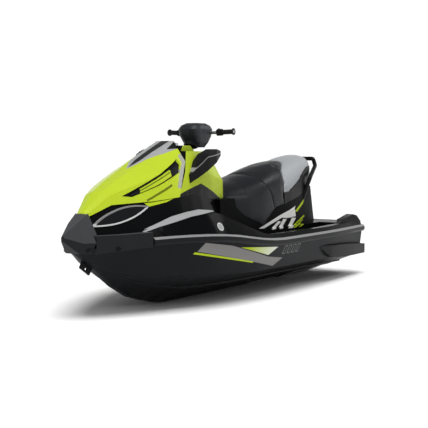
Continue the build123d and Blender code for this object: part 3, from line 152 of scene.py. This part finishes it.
# Materials
class Paint:
    """One procedural finish: slow tint and gloss variation, fine grain, and painted regions on top."""

    def __init__(self, name, color, roughness, *, metallic=0.0, specular=0.25, coat=0.0, mottling=0.06,
                 mottle_scale=3.0, grain=0.05, grain_scale=900.0, rough_swing=0.05):
        self.material = bpy.data.materials.new(name)
        self.material.use_nodes = True
        self.tree = self.material.node_tree
        self.shader = self.tree.nodes["Principled BSDF"]
        self.position = self.tree.nodes.new("ShaderNodeTexCoord").outputs["Object"]
        self.axes = None
        slow = self.noise(mottle_scale, SLOW_DETAIL)
        darker = [c * (1 - mottling) for c in color]
        lighter = [min(1, c * (1 + mottling)) for c in color]
        self.color = self.mix(slow, darker, lighter)
        gloss = self.tree.nodes.new("ShaderNodeMapRange")
        gloss.inputs["To Min"].default_value = max(LEAST_ROUGHNESS, roughness - rough_swing)
        gloss.inputs["To Max"].default_value = min(1.0, roughness + rough_swing)
        self.link(slow, gloss.inputs["Value"])
        self.link(gloss.outputs["Result"], self.shader.inputs["Roughness"])
        self.height = None
        if grain:
            self.bump(self.noise(grain_scale, GRAIN_DETAIL), grain, GRAIN_DEPTH)
        self.shader.inputs["Metallic"].default_value = metallic
        self.shader.inputs["Specular IOR Level"].default_value = specular
        self.shader.inputs["Coat Weight"].default_value = coat
        self.shader.inputs["Coat Roughness"].default_value = COAT_ROUGHNESS
        self.link(self.color, self.shader.inputs["Base Color"])

    def link(self, start, end):
        self.tree.links.new(start, end)

    def noise(self, scale, detail):
        node = self.tree.nodes.new("ShaderNodeTexNoise")
        node.inputs["Scale"].default_value = scale
        node.inputs["Detail"].default_value = detail
        self.link(self.position, node.inputs["Vector"])
        return node.outputs["Fac"]

    def bump(self, value, strength, distance):
        node = self.tree.nodes.new("ShaderNodeBump")
        node.inputs["Strength"].default_value = strength
        node.inputs["Distance"].default_value = distance
        self.link(value, node.inputs["Height"])
        if self.height is not None:
            self.link(self.height, node.inputs["Normal"])
        self.height = node.outputs["Normal"]
        self.link(self.height, self.shader.inputs["Normal"])

    def math(self, operation, first, second=0.0, third=0.0, clamp=False):
        node = self.tree.nodes.new("ShaderNodeMath")
        node.operation = operation
        node.use_clamp = clamp
        for socket, value in zip(node.inputs, (first, second, third)):
            if isinstance(value, (int, float)):
                socket.default_value = value
            else:
                self.link(value, socket)
        return node.outputs["Value"]

    def mix(self, factor, low, high):
        node = self.tree.nodes.new("ShaderNodeMix")
        node.data_type = "RGBA"
        self.link(factor, node.inputs["Factor"])
        for socket, value in ((node.inputs[6], low), (node.inputs[7], high)):
            if isinstance(value, (list, tuple)):
                socket.default_value = (*value, 1)
            else:
                self.link(value, socket)
        return node.outputs[2]

    def split(self):
        """Sockets of x, |y| and z in the row frame."""
        if self.axes is None:
            node = self.tree.nodes.new("ShaderNodeSeparateXYZ")
            self.link(self.position, node.inputs["Vector"])
            self.axes = (node.outputs["X"], self.math("ABSOLUTE", node.outputs["Y"]), node.outputs["Z"])
        return self.axes

    def rising(self, value, low, high):
        """From 0 to 1 as a value goes from low to high."""
        return self.math("MULTIPLY_ADD", value, 1 / (high - low), -low / (high - low), clamp=True)

    def inside(self, outline, across=False, soft=REGION_EDGE):
        """1 inside a convex outline, drawn in side view, or in plan where across is set."""
        x, y, z = self.split()
        second = y if across else z
        area = sum(a[0] * b[1] - b[0] * a[1] for a, b in zip(outline, outline[1:] + outline[:1]))
        turn = 1 if area > 0 else -1
        result = None
        for start, end in zip(outline, outline[1:] + outline[:1]):
            run, rise = end[0] - start[0], end[1] - start[1]
            span = math.hypot(run, rise)
            normal = (-rise / span * turn, run / span * turn)
            shift = normal[0] * start[0] + normal[1] * start[1]
            value = self.math("MULTIPLY_ADD", second, normal[1], -shift)
            value = self.math("MULTIPLY_ADD", x, normal[0], value)
            value = self.math("MULTIPLY_ADD", value, 1 / soft, 0.5, clamp=True)
            result = value if result is None else self.math("MULTIPLY", result, value)
        return result

    def disc(self, center, radius):
        """1 inside a circle in side view."""
        x, _, z = self.split()
        over_x = self.math("SUBTRACT", x, center[0])
        over_z = self.math("SUBTRACT", z, center[1])
        square = self.math("MULTIPLY_ADD", over_x, over_x, self.math("MULTIPLY", over_z, over_z))
        gap = self.math("SUBTRACT", radius, self.math("SQRT", square))
        return self.math("MULTIPLY_ADD", gap, 1 / DISC_EDGE, 0.5, clamp=True)

    def facing(self, axis, low, high):
        """From 0 to 1 as the face turns along an axis, to either side for the axis Y."""
        geometry = self.tree.nodes.new("ShaderNodeNewGeometry")
        split = self.tree.nodes.new("ShaderNodeSeparateXYZ")
        self.link(geometry.outputs["Normal"], split.inputs["Vector"])
        value = split.outputs[axis]
        if axis == "Y":
            value = self.math("ABSOLUTE", value)
        return self.rising(value, low, high)

    def over(self, mask, color):
        """Paints a colour, or another colour socket, where the mask is 1."""
        self.color = self.mix(mask, self.color, color)
        self.link(self.color, self.shader.inputs["Base Color"])

    def side_region(self, outline, color, soft=REGION_EDGE):
        """Paints a convex outline of stations and heights, alike on both sides."""
        self.over(self.inside(profile(outline), soft=soft), color)

    def plan_region(self, outline, color):
        """Paints a convex outline of stations and half-breadths, seen from above."""
        self.over(self.inside(plan(outline), across=True), color)


# Plain finishes, by material slot
finishes = {
    "rail_grey": Paint("rail_grey", RAIL_BLACK, 0.36, specular=0.08, grain=0.1),
    "trim_black": Paint("trim_black", TRIM_BLACK, 0.38, specular=0.08, grain=0.2),
    "steel": Paint("steel", STEEL, 0.28, metallic=1.0, grain=0.05),
    "grip_rubber": Paint("grip_rubber", GRIP_BLACK, 0.6, specular=0.15, grain=0.3),
    "vinyl_black": Paint("vinyl_black", VINYL_BLACK, 0.33, specular=0.13, grain=0.3, grain_scale=700.0),
    "vinyl_grey": Paint("vinyl_grey", VINYL_GREY, 0.42, specular=0.25, grain=0.3, grain_scale=700.0),
    "mirror_glass": Paint("mirror_glass", GLASS, 0.05, metallic=1.0, grain=0.0, rough_swing=0.02),
    "cast_alloy": Paint("cast_alloy", ALLOY, 0.42, metallic=1.0, grain=0.35, grain_scale=400.0),
    "accent_grey": Paint("accent_grey", SILVER, 0.34, specular=0.2, grain=0.0),
}
GLOSS_BLACK = {"color": BLACK, "roughness": 0.26, "specular": 0.03, "grain": 0.0}
GLOSS_LIME = {
    "color": LIME,
    "roughness": 0.26,
    "specular": 0.15,
    "coat": 0.08,
    "mottling": 0.03,
    "grain": 0.0,
}

# Hull graphics, and painted shade that darkens the hull towards the keel; here and below stations,
# half-breadths and heights are in millimetres
HULL_BOTTOM_SHADE = [(60, -10), (3300, -10), (3300, 150), (60, 150)]
HULL_SHADE_FADE = 0.18
HULL_FLASHES = [
    [(2429, 381), (2386, 436), (2137, 399), (1719, 290), (1627, 215)],
    [(1719, 290), (1512, 264), (1627, 215)],
]
HULL_STRIPE = [(2455, 366), (2445, 378), (1890, 272), (1890, 262)]
HULL_WEDGE = [(2058, 382), (1615, 352), (1724, 302)]
WEDGE_PALE_END = STERN + 1.62
WEDGE_LIME_END = STERN + 1.95
HULL_BARS = 4
HULL_BAR_FIRST = 1535
HULL_BAR_PITCH = 64
HULL_BAR = [(0, 292), (-40, 290), (-62, 350), (-22, 353)]
HULL_BAR_CORE = [(-9, 297), (-37, 296), (-55, 345), (-27, 347)]


def hull_graphics_and_keel_shade():
    paint = Paint("hull_graphics_and_keel_shade", CHARCOAL, 0.36, specular=0.05, grain=0.02)
    # painted shade: the hull darker towards the keel, with a soft upper edge
    paint.side_region(HULL_BOTTOM_SHADE, KEEL_SHADE_BLACK, soft=HULL_SHADE_FADE)
    for outline in HULL_FLASHES:
        paint.side_region(outline, WARM_GREY)
    paint.side_region(HULL_STRIPE, LIME)
    fade = paint.rising(paint.split()[0], WEDGE_PALE_END, WEDGE_LIME_END)
    paint.side_region(HULL_WEDGE, paint.mix(fade, PALE, LIME))
    for step in range(HULL_BARS):
        foot = HULL_BAR_FIRST - HULL_BAR_PITCH * step
        for outline, color in ((HULL_BAR, BAR_GREY), (HULL_BAR_CORE, CHARCOAL)):
            paint.side_region([(foot + station, height) for station, height in outline], color)
    return paint


# Deck and seat pedestal: a blank disc on the flank, and slanted bars that run from one piece to the other
DISC_PLACE = (2242, 531)
DISC_RIM_R = 0.026
DISC_R = 0.020
PEDESTAL_HALF = 0.262
PEDESTAL_BARS = [
    ([(1377, 449), (1300, 446), (800, 566), (781, 592), (1060, 532)], PALE),
    ([(1030, 512), (790, 566), (774, 508), (953, 504)], PALE),
    ([(1206, 430), (1148, 430), (1040, 481), (1085, 489)], PALE),
    ([(1090, 428), (1036, 428), (950, 496), (1010, 500)], PALE),
    ([(950, 424), (884, 422), (768, 494), (860, 502)], PALE),
    ([(790, 548), (585, 640), (615, 600), (745, 542)], LIME),
    ([(878, 424), (838, 422), (576, 496), (592, 508)], LIME),
    ([(780, 424), (745, 424), (610, 470), (622, 478)], LIME),
]


def deck_graphics():
    paint = Paint("deck_disc", **GLOSS_BLACK)
    center = profile([DISC_PLACE])[0]
    paint.over(paint.disc(center, DISC_RIM_R), LIGHT_GREY)
    paint.over(paint.disc(center, DISC_R), DISC_GREY)
    inboard = paint.math("LESS_THAN", paint.split()[1], PEDESTAL_HALF)
    for outline, color in PEDESTAL_BARS:
        paint.over(paint.math("MULTIPLY", inboard, paint.inside(profile(outline))), color)
    return paint


def pedestal_graphics():
    paint = Paint("pedestal_bars", BLACK, 0.4, specular=0.012, grain=0.0)
    for outline, color in PEDESTAL_BARS:
        paint.side_region(outline, color)
    return paint


# Cowl: a lime skirt on its flanks, under the hood's edge
COWL_SKIRT = [(2714, 721), (2664, 672), (2539, 698), (2391, 750), (2391, 800), (2714, 800)]


def cowl_graphics():
    paint = Paint("cowl_skirt", **GLOSS_BLACK)
    flank = paint.facing("Y", 0.2, 0.35)
    paint.over(paint.math("MULTIPLY", flank, paint.inside(profile(COWL_SKIRT))), LIME)
    return paint


# Bow bumper: a painted highlight on its upward faces, and painted shade in two holes on each side
BUMPER_HOLE_SHADES = [(3088, 428), (2945, 430)]
BUMPER_HOLE_SHADE_R = 0.015


def bumper_painted_light():
    paint = Paint("bumper_highlight_and_hole_shade", SLATE, 0.42, specular=0.1, grain=0.2)
    # painted highlight on the faces that turn up
    paint.over(paint.facing("Z", 0.15, 0.55), SLATE_TOP_HIGHLIGHT)
    # painted shade: dark discs where the holes are
    for center in profile(BUMPER_HOLE_SHADES):
        paint.over(paint.disc(center, BUMPER_HOLE_SHADE_R), HOLE_SHADE_BLACK)
    return paint


def pad_painted_highlight():
    """Handlebar pad, with a painted highlight on its sides."""
    paint = Paint("pad_side_highlight", PAD_GREY, 0.36, specular=0.12, grain=0.2)
    paint.over(paint.facing("Y", 0.45, 0.85), PAD_SIDE_HIGHLIGHT)
    return paint


# Mirror housings: a thin stripe along the shell
MIRROR_STRIPE = [
    [(2265, 882), (2140, 979), (2140, 985), (2264, 890)],
    [(2140, 979), (1980, 1005), (1980, 1012), (2140, 985)],
]


def mirror_graphics():
    paint = Paint("mirror_shell", TRIM_BLACK, 0.30, specular=0.1, grain=0.1)
    for outline in MIRROR_STRIPE:
        paint.side_region(outline, STRIPE_GREY)
    return paint


# Intake bezels: a painted highlight along the lower edge
BEZEL_LOWER_HIGHLIGHT = [
    [(3045, 535), (3045, 574), (2850, 602), (2850, 535)],
    [(2850, 535), (2850, 602), (2700, 668), (2655, 672), (2655, 535)],
]


def bezel_painted_highlight():
    paint = Paint("bezel_lower_highlight", BEZEL_GREY, 0.3, specular=0.2, grain=0.0)
    for outline in BEZEL_LOWER_HIGHLIGHT:
        paint.side_region(outline, LIGHT_GREY)
    return paint


# Hood: a silver and black centre band seen from above, a stripe and a shut line on the flanks
HOOD_BAND = [(2625, -1), (2120, -1), (2120, 150), (2356, 106), (2523, 53)]
HOOD_SPINE = [(2605, -1), (2120, -1), (2120, 38), (2500, 26)]
HOOD_PATCH = [(2312, 90), (2150, 70), (2150, 134), (2235, 130)]
HOOD_STRIPE = [
    [(2250, 1008), (2290, 992), (2357, 902), (2316, 890)],
    [(2316, 890), (2357, 902), (2424, 786), (2386, 778)],
]
HOOD_SHUT_LINE = [(2672, 716), (2463, 811), (2459, 797), (2667, 704)]


def hood_graphics():
    paint = Paint("hood_graphics", **GLOSS_LIME)
    for outline, color in ((HOOD_BAND, SILVER), (HOOD_SPINE, BLACK), (HOOD_PATCH, BLACK)):
        paint.plan_region(outline, color)
    for outline in HOOD_STRIPE:
        paint.side_region(outline, LIME_GREY)
    paint.side_region(HOOD_SHUT_LINE, LIME_SHADE)
    return paint


# Hood louvres: black past both ends of the lime blade, and a shaded line along it
LOUVRE_ENDS = [
    [(3000, 600), (3000, 900), (2688, 900), (2716, 600)],
    [(2446, 1000), (2440, 700), (2300, 700), (2300, 1000)],
]
LOUVRE_LINE = [(2700, 776), (2450, 888), (2450, 880), (2700, 768)]


def louvre_graphics():
    paint = Paint("louvre_gaps", **GLOSS_LIME)
    for outline in LOUVRE_ENDS:
        paint.side_region(outline, BLACK)
    paint.side_region(LOUVRE_LINE, LIME_SHADE)
    return paint


# Console: lime down to a slanted edge, black below it, on top and on its front
CONSOLE_LOW_EDGE = [(2500, 720), (2319, 767), (2132, 806), (1979, 756), (1807, 691), (1650, 640)]
CONSOLE_FOOT = 300
CONSOLE_EDGE_FADE = 0.002


def console_graphics():
    paint = Paint("console_two_tone", LIME, 0.28, specular=0.06, mottling=0.03, grain=0.0)
    for start, end in zip(CONSOLE_LOW_EDGE, CONSOLE_LOW_EDGE[1:]):
        below = [start, end, (end[0], CONSOLE_FOOT), (start[0], CONSOLE_FOOT)]
        paint.side_region(below, BLACK, soft=CONSOLE_EDGE_FADE)
    paint.over(paint.facing("Z", 0.75, 0.92), TOP_BLACK)
    paint.over(paint.facing("X", 0.5, 0.7), BLACK)
    return paint


def rail_painted_highlight():
    """Gunwale rails, with a painted highlight on top."""
    paint = Paint("rail_top_highlight", RAIL_BLACK, 0.36, specular=0.08, grain=0.08)
    paint.over(paint.facing("Z", 0.2, 0.5), RAIL_TOP_HIGHLIGHT)
    return paint


def sponson_painted_highlight():
    """Sponsons, with a painted highlight on top."""
    paint = Paint("sponson_top_highlight", TRIM_BLACK, 0.38, specular=0.08, grain=0.2)
    paint.over(paint.facing("Z", 0.25, 0.6), SPONSON_TOP_HIGHLIGHT)
    return paint


# Relief of the intake grilles and of the mats
MESH_SCALE = 110.0
MESH_STRENGTH = 0.8
MESH_DEPTH = 0.002
GROOVE_SCALE = 14.0
GROOVE_STRENGTH = 0.7
GROOVE_DEPTH = 0.003


def grille_graphics():
    """Intake grilles: a regular mesh in relief."""
    paint = Paint("lens_mesh", LENS_BLACK, 0.25, specular=0.12, grain=0.0)
    cells = paint.tree.nodes.new("ShaderNodeTexVoronoi")
    cells.inputs["Scale"].default_value = MESH_SCALE
    cells.inputs["Randomness"].default_value = 0.0
    paint.link(paint.position, cells.inputs["Vector"])
    paint.bump(cells.outputs["Distance"], MESH_STRENGTH, MESH_DEPTH)
    return paint


def mat_graphics():
    """Mats: diagonal grooves, lighter on their ridges."""
    paint = Paint("grooved_mat", MAT_GREY, 0.78, grain=0.5, grain_scale=300.0)
    groove = paint.tree.nodes.new("ShaderNodeTexWave")
    groove.bands_direction = "DIAGONAL"
    groove.inputs["Scale"].default_value = GROOVE_SCALE
    paint.link(paint.position, groove.inputs["Vector"])
    paint.bump(groove.outputs["Fac"], GROOVE_STRENGTH, GROOVE_DEPTH)
    paint.over(groove.outputs["Fac"], RIDGE_GREY)
    return paint


mat_paint = mat_graphics()
special = {
    "sponsons": sponson_painted_highlight(),
    "hull": hull_graphics_and_keel_shade(),
    "deck": deck_graphics(),
    "seat_pedestal": pedestal_graphics(),
    "hood": hood_graphics(),
    "hood_louvres": louvre_graphics(),
    "console": console_graphics(),
    "gunwale_rails": rail_painted_highlight(),
    "intake_grilles": grille_graphics(),
    "intake_bezels": bezel_painted_highlight(),
    "cowl": cowl_graphics(),
    "bow_bumper": bumper_painted_light(),
    "handlebar_pad": pad_painted_highlight(),
    "mirror_housings": mirror_graphics(),
    "footwell_mats": mat_paint,
    "stern_mat": mat_paint,
}

# Shading: weld the facets of each CAD face to its neighbours and keep only true creases sharp
WELD_DISTANCE = 0.00012
CREASE = math.radians(38)
# Moulded pieces whose edges are broken, with the width of the rounding in metres
ROUNDED = {
    "bow_bumper": 0.008,
    "mirror_housings": 0.007,
    "console": 0.006,
    "sponsons": 0.006,
    "handlebar_pad": 0.008,
}
ROUNDING_SEGMENTS = 2
FAIR = ("hood", "hull", "deck", "cowl", "gunwale_rails", "accent_panels")  # shaded by their large faces


def shading_group(name):
    group = bpy.data.node_groups.new(name, "GeometryNodeTree")
    group.interface.new_socket("Geometry", in_out="INPUT", socket_type="NodeSocketGeometry")
    group.interface.new_socket("Geometry", in_out="OUTPUT", socket_type="NodeSocketGeometry")
    make, link = group.nodes.new, group.links.new
    enter, leave = make("NodeGroupInput"), make("NodeGroupOutput")
    weld = make("GeometryNodeMergeByDistance")
    weld.inputs["Distance"].default_value = WELD_DISTANCE
    faces = make("GeometryNodeSetShadeSmooth")
    edges = make("GeometryNodeSetShadeSmooth")
    edges.domain = "EDGE"
    edges.inputs["Shade Smooth"].default_value = False
    angle = make("GeometryNodeInputMeshEdgeAngle")
    sharp = make("FunctionNodeCompare")
    sharp.data_type = "FLOAT"
    sharp.operation = "GREATER_THAN"
    sharp.inputs[1].default_value = CREASE
    link(enter.outputs[0], weld.inputs["Geometry"])
    link(weld.outputs["Geometry"], faces.inputs["Geometry"])
    link(faces.outputs["Geometry"], edges.inputs["Geometry"])
    link(angle.outputs["Unsigned Angle"], sharp.inputs[0])
    link(sharp.outputs["Result"], edges.inputs["Selection"])
    link(edges.outputs["Geometry"], leave.inputs[0])
    return group


shading = shading_group("creased_shading")
for part in frame["record"]["subparts"]:
    node = nodes[part["node"]]
    node.data.materials.clear()
    if part["node"] in special:
        paint = special[part["node"]]
    else:
        paint = finishes[part["material_slot"]]
    node.data.materials.append(paint.material)
    node.modifiers.new("shading", "NODES").node_group = shading
    if part["node"] in ROUNDED:
        rounding = node.modifiers.new("rounding", "BEVEL")
        rounding.width = ROUNDED[part["node"]]
        rounding.segments = ROUNDING_SEGMENTS
        rounding.limit_method = "ANGLE"
        rounding.angle_limit = CREASE
        rounding.harden_normals = True
    if part["node"] in FAIR:
        weights = node.modifiers.new("weights", "WEIGHTED_NORMAL")
        weights.keep_sharp = True

# Upholstery: the seat solids remeshed, faired, and swollen by a pressure simulation against pinned seams
VOXEL = 0.009
UNDERSIDE = -0.3  # faces that look down more than this stay as they are
FIRST_FAIRING = 14
LAST_FAIRING = 2
CLOTH_PRESSURE = 4.0
CLOTH_QUALITY = 4
CLOTH_STIFFNESS = 25
CLOTH_FRAMES = 20
SWELL_CAP = 0.008
LEAST_MOVE = 1e-9
SEAM = profile([(1150, 560), (1150, 589), (1196, 705), (1253, 782), (1285, 839), (1286, 900)])
SEAM_PIN = VOXEL * 0.6
SEAM_DEPTH = 0.006
SEAM_WIDTH = 0.008


def mesh_points(mesh):
    points = np.empty(len(mesh.vertices) * 3)
    mesh.vertices.foreach_get("co", points)
    return points.reshape(-1, 3)


def mesh_normals(mesh):
    normals = np.empty(len(mesh.vertices) * 3)
    mesh.vertex_normals.foreach_get("vector", normals)
    return normals.reshape(-1, 3)


def set_points(mesh, points):
    mesh.vertices.foreach_set("co", points.reshape(-1))
    mesh.update()


def faired(mesh, points, held, rounds):
    """Moves each free point towards the middle of its neighbours."""
    edges = np.empty(len(mesh.edges) * 2, dtype=np.int64)
    mesh.edges.foreach_get("vertices", edges)
    first, second = edges.reshape(-1, 2).T
    count = np.bincount(first, minlength=len(points)) + np.bincount(second, minlength=len(points))
    for _ in range(rounds):
        total = np.zeros_like(points)
        for axis in range(3):
            total[:, axis] += np.bincount(first, weights=points[second, axis], minlength=len(points))
            total[:, axis] += np.bincount(second, weights=points[first, axis], minlength=len(points))
        middle = total / count[:, None]
        points = np.where(held[:, None], points, 0.5 * points + 0.5 * middle)
    return points


def seam_station(heights):
    return np.interp(heights, [z for x, z in SEAM], [x for x, z in SEAM])


def remeshed(name, source):
    """Object with an even voxel mesh of a node's solid."""
    cover = bpy.data.objects.new(name, nodes[source].data.copy())
    scene.collection.objects.link(cover)
    remesh = cover.modifiers.new("remesh", "REMESH")
    remesh.mode = "VOXEL"
    remesh.voxel_size = VOXEL
    graph = bpy.context.evaluated_depsgraph_get()
    mesh = bpy.data.meshes.new_from_object(cover.evaluated_get(graph))
    cover.modifiers.clear()
    cover.data = mesh
    return cover


def swollen(cover, points, pinned):
    """Points after the pressure simulation, none of them moved further than the cap."""
    group = cover.vertex_groups.new(name="pinned")
    group.add([int(i) for i in np.nonzero(pinned)[0]], 1.0, "REPLACE")
    cloth = cover.modifiers.new("cloth", "CLOTH")
    cloth.settings.vertex_group_mass = "pinned"
    cloth.settings.use_pressure = True
    cloth.settings.uniform_pressure_force = CLOTH_PRESSURE
    cloth.settings.effector_weights.gravity = 0.0
    cloth.settings.quality = CLOTH_QUALITY
    cloth.settings.tension_stiffness = CLOTH_STIFFNESS
    cloth.settings.compression_stiffness = CLOTH_STIFFNESS
    cloth.point_cache.frame_start = 1
    cloth.point_cache.frame_end = CLOTH_FRAMES
    for step in range(1, CLOTH_FRAMES + 1):
        scene.frame_set(step)
    graph = bpy.context.evaluated_depsgraph_get()
    blown = mesh_points(cover.evaluated_get(graph).data)
    cover.modifiers.clear()
    scene.frame_set(1)
    cover.vertex_groups.clear()
    move = blown - points
    length = np.linalg.norm(move, axis=1, keepdims=True)
    return points + move * np.minimum(1.0, SWELL_CAP / np.maximum(length, LEAST_MOVE))


def upholstered(name, source, seamed, material):
    """Padded copy of a seat solid: crowned cloth between its pinned hem and seams."""
    cover = remeshed(name, source)
    mesh = cover.data
    under = mesh_normals(mesh)[:, 2] < UNDERSIDE
    points = faired(mesh, mesh_points(mesh), under, FIRST_FAIRING)
    set_points(mesh, points)
    seam_gap = np.abs(points[:, 0] - seam_station(points[:, 2]))
    pinned = under | (seam_gap < SEAM_PIN) if seamed else under
    points = faired(mesh, swollen(cover, points, pinned), pinned, LAST_FAIRING)
    if seamed:
        set_points(mesh, points)
        dip = SEAM_DEPTH * np.exp(-((seam_gap / SEAM_WIDTH) ** 2))
        points = points - mesh_normals(mesh) * np.where(under, 0.0, dip)[:, None]
    set_points(mesh, points)
    for polygon in mesh.polygons:
        polygon.use_smooth = True
    mesh.materials.clear()
    mesh.materials.append(material)
    cover.modifiers.new("fine", "SUBSURF").levels = 1
    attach(cover, "craft")
    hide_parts(source)
    return cover


for name, source, seamed, slot in (
    ("front_cushion", "seat_front", True, "vinyl_black"),
    ("rear_cushion", "seat_rear", False, "vinyl_grey"),
):
    cushion = upholstered(name, source, seamed, finishes[slot].material)

# Small fittings on the steering: a boot over the neck, and a lever and a button beside each grip
STEERING_PIVOT = at(1915, 0, 1040)
RAKE = math.radians(20)
COLUMN = Vector((-math.sin(RAKE), 0, math.cos(RAKE)))
BOOT_FOOT = 16  # along the column from the pivot, in millimetres
BOOT_PITCH = 8
BOOT_RADII = [0.046, 0.054, 0.046, 0.053, 0.045, 0.052, 0.044, 0.044]
BOOT_SIDES = 32
LEVER_PATH = [(1822, 168, 1150), (1836, 182, 1150), (1838, 210, 1151), (1830, 246, 1152), (1828, 262, 1153)]
LEVER_RADII = [0.006, 0.007, 0.006, 0.005, 0.004]
BUTTON_PATH = [(1796, 164, 1176), (1795, 164, 1182), (1795, 164, 1184)]
BUTTON_RADII = [0.008, 0.008, 0.006]


def fitting(name, points, faces, slot, body):
    mesh = bpy.data.meshes.new(name)
    mesh.from_pydata([tuple(point) for point in points], [], faces)
    for polygon in mesh.polygons:
        polygon.use_smooth = True
    mesh.materials.append(finishes[slot].material)
    piece = bpy.data.objects.new(name, mesh)
    scene.collection.objects.link(piece)
    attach(piece, body)


def swept(path, radii, sides=16):
    """Points and faces of a closed round bar along a path, with a radius at each point."""
    points, faces = [], []
    for index, (place, radius) in enumerate(zip(path, radii)):
        ahead = path[min(index + 1, len(path) - 1)] - path[max(index - 1, 0)]
        turn = ahead.to_track_quat("Z", "Y")
        for side in range(sides):
            angle = 2 * math.pi * side / sides
            points.append(place + turn @ Vector((radius * math.cos(angle), radius * math.sin(angle), 0)))
    for index in range(len(path) - 1):
        for side in range(sides):
            after = (side + 1) % sides
            low, high = index * sides, (index + 1) * sides
            faces.append((low + side, low + after, high + after, high + side))
    faces.append(tuple(reversed(range(sides))))
    faces.append(tuple(range((len(path) - 1) * sides, len(path) * sides)))
    return points, faces


def mirrored(path, hand):
    """Path of lines-plan points on one side: hand is 1 to port and -1 to starboard."""
    return [at(station, hand * y, height) for station, y, height in path]


boot_steps = [BOOT_FOOT + BOOT_PITCH * ring for ring in range(len(BOOT_RADII))]
boot_path = [STEERING_PIVOT + COLUMN * along / 1000 for along in boot_steps]
fitting("neck_boot", *swept(boot_path, BOOT_RADII, BOOT_SIDES), "grip_rubber", "steering")
for side, hand in (("port", 1), ("starboard", -1)):
    fitting(f"lever_{side}", *swept(mirrored(LEVER_PATH, hand), LEVER_RADII), "trim_black", "steering")
    fitting(f"button_{side}", *swept(mirrored(BUTTON_PATH, hand), BUTTON_RADII), "grip_rubber", "steering")

# Studio floor, white, just under the keel
FLOOR_HALF = 40.0
FLOOR_GAP = 0.002
floor_mesh = bpy.data.meshes.new("floor")
corners = [(-1, -1), (1, -1), (1, 1), (-1, 1)]
floor_level = cad_box[0][2] - FLOOR_GAP
floor_points = [(x * FLOOR_HALF, y * FLOOR_HALF, floor_level) for x, y in corners]
floor_mesh.from_pydata(floor_points, [], [(0, 1, 2, 3)])
floor = bpy.data.objects.new("floor", floor_mesh)
scene.collection.objects.link(floor)
floor_paint = Paint("floor", FLOOR_WHITE, 0.9, specular=0.0, mottling=0.005, grain=0.0)
floor.data.materials.append(floor_paint.material)

# Room: white round the horizon and darker overhead where it is seen, an even fill where it lights
HORIZON_TOP = 0.2  # sine of the height at which the white starts to darken
OVERHEAD_FROM = 0.5
HORIZON_LEVEL = 1.03
OVERHEAD_LEVEL = 0.25
ROOM_FILL = 0.34
world = bpy.data.worlds.new("studio")
scene.world = world
world.use_nodes = True
tree = world.node_tree
background = tree.nodes["Background"]
direction = tree.nodes.new("ShaderNodeTexCoord").outputs["Generated"]
split = tree.nodes.new("ShaderNodeSeparateXYZ")
tree.links.new(direction, split.inputs["Vector"])
ramp = tree.nodes.new("ShaderNodeMapRange")
ramp.interpolation_type = "SMOOTHSTEP"
ramp.inputs["From Min"].default_value = HORIZON_TOP
ramp.inputs["From Max"].default_value = OVERHEAD_FROM
ramp.inputs["To Min"].default_value = HORIZON_LEVEL
ramp.inputs["To Max"].default_value = OVERHEAD_LEVEL
tree.links.new(split.outputs["Z"], ramp.inputs["Value"])
paths = tree.nodes.new("ShaderNodeLightPath")
seen = paths.outputs["Is Camera Ray"]
for kind in ("Is Glossy Ray", "Is Transmission Ray"):
    either = tree.nodes.new("ShaderNodeMath")
    either.operation = "MAXIMUM"
    tree.links.new(seen, either.inputs[0])
    tree.links.new(paths.outputs[kind], either.inputs[1])
    seen = either.outputs["Value"]
level = tree.nodes.new("ShaderNodeMix")
level.inputs[2].default_value = ROOM_FILL
tree.links.new(seen, level.inputs["Factor"])
tree.links.new(ramp.outputs["Result"], level.inputs[3])
tree.links.new(level.outputs[0], background.inputs["Strength"])
background.inputs["Color"].default_value = (1, 1, 1, 1)

# Lamps: a broad one overhead and three soft boxes, in metres of the row frame and watts
OVERHEAD_STRENGTH = 2.7
OVERHEAD_ANGLE = math.radians(36)
OVERHEAD_TILT = (math.radians(-9), math.radians(13), 0)


def lamp(name, place, target, size, watts):
    data = bpy.data.lights.new(name, "AREA")
    data.shape = "RECTANGLE"
    data.size, data.size_y = size
    data.energy = watts
    light = bpy.data.objects.new(name, data)
    light.location = place
    light.rotation_euler = (Vector(place) - Vector(target)).to_track_quat("Z", "Y").to_euler()
    scene.collection.objects.link(light)


sky = bpy.data.lights.new("overhead", "SUN")
sky.energy = OVERHEAD_STRENGTH
sky.angle = OVERHEAD_ANGLE
overhead = bpy.data.objects.new("overhead", sky)
overhead.rotation_euler = OVERHEAD_TILT
scene.collection.objects.link(overhead)
lamp("stern box", place=(-2.9, 1.1, 2.5), target=(-0.4, 0.2, 0.4), size=(0.8, 0.6), watts=8)
lamp("bow box", place=(3.4, 2.6, 2.8), target=(0.6, 0, 0.4), size=(0.3, 2.4), watts=20)
lamp("port box", place=(-1.7, 2.5, 2.1), target=(-0.3, 0.2, 0.3), size=(0.5, 0.3), watts=10)
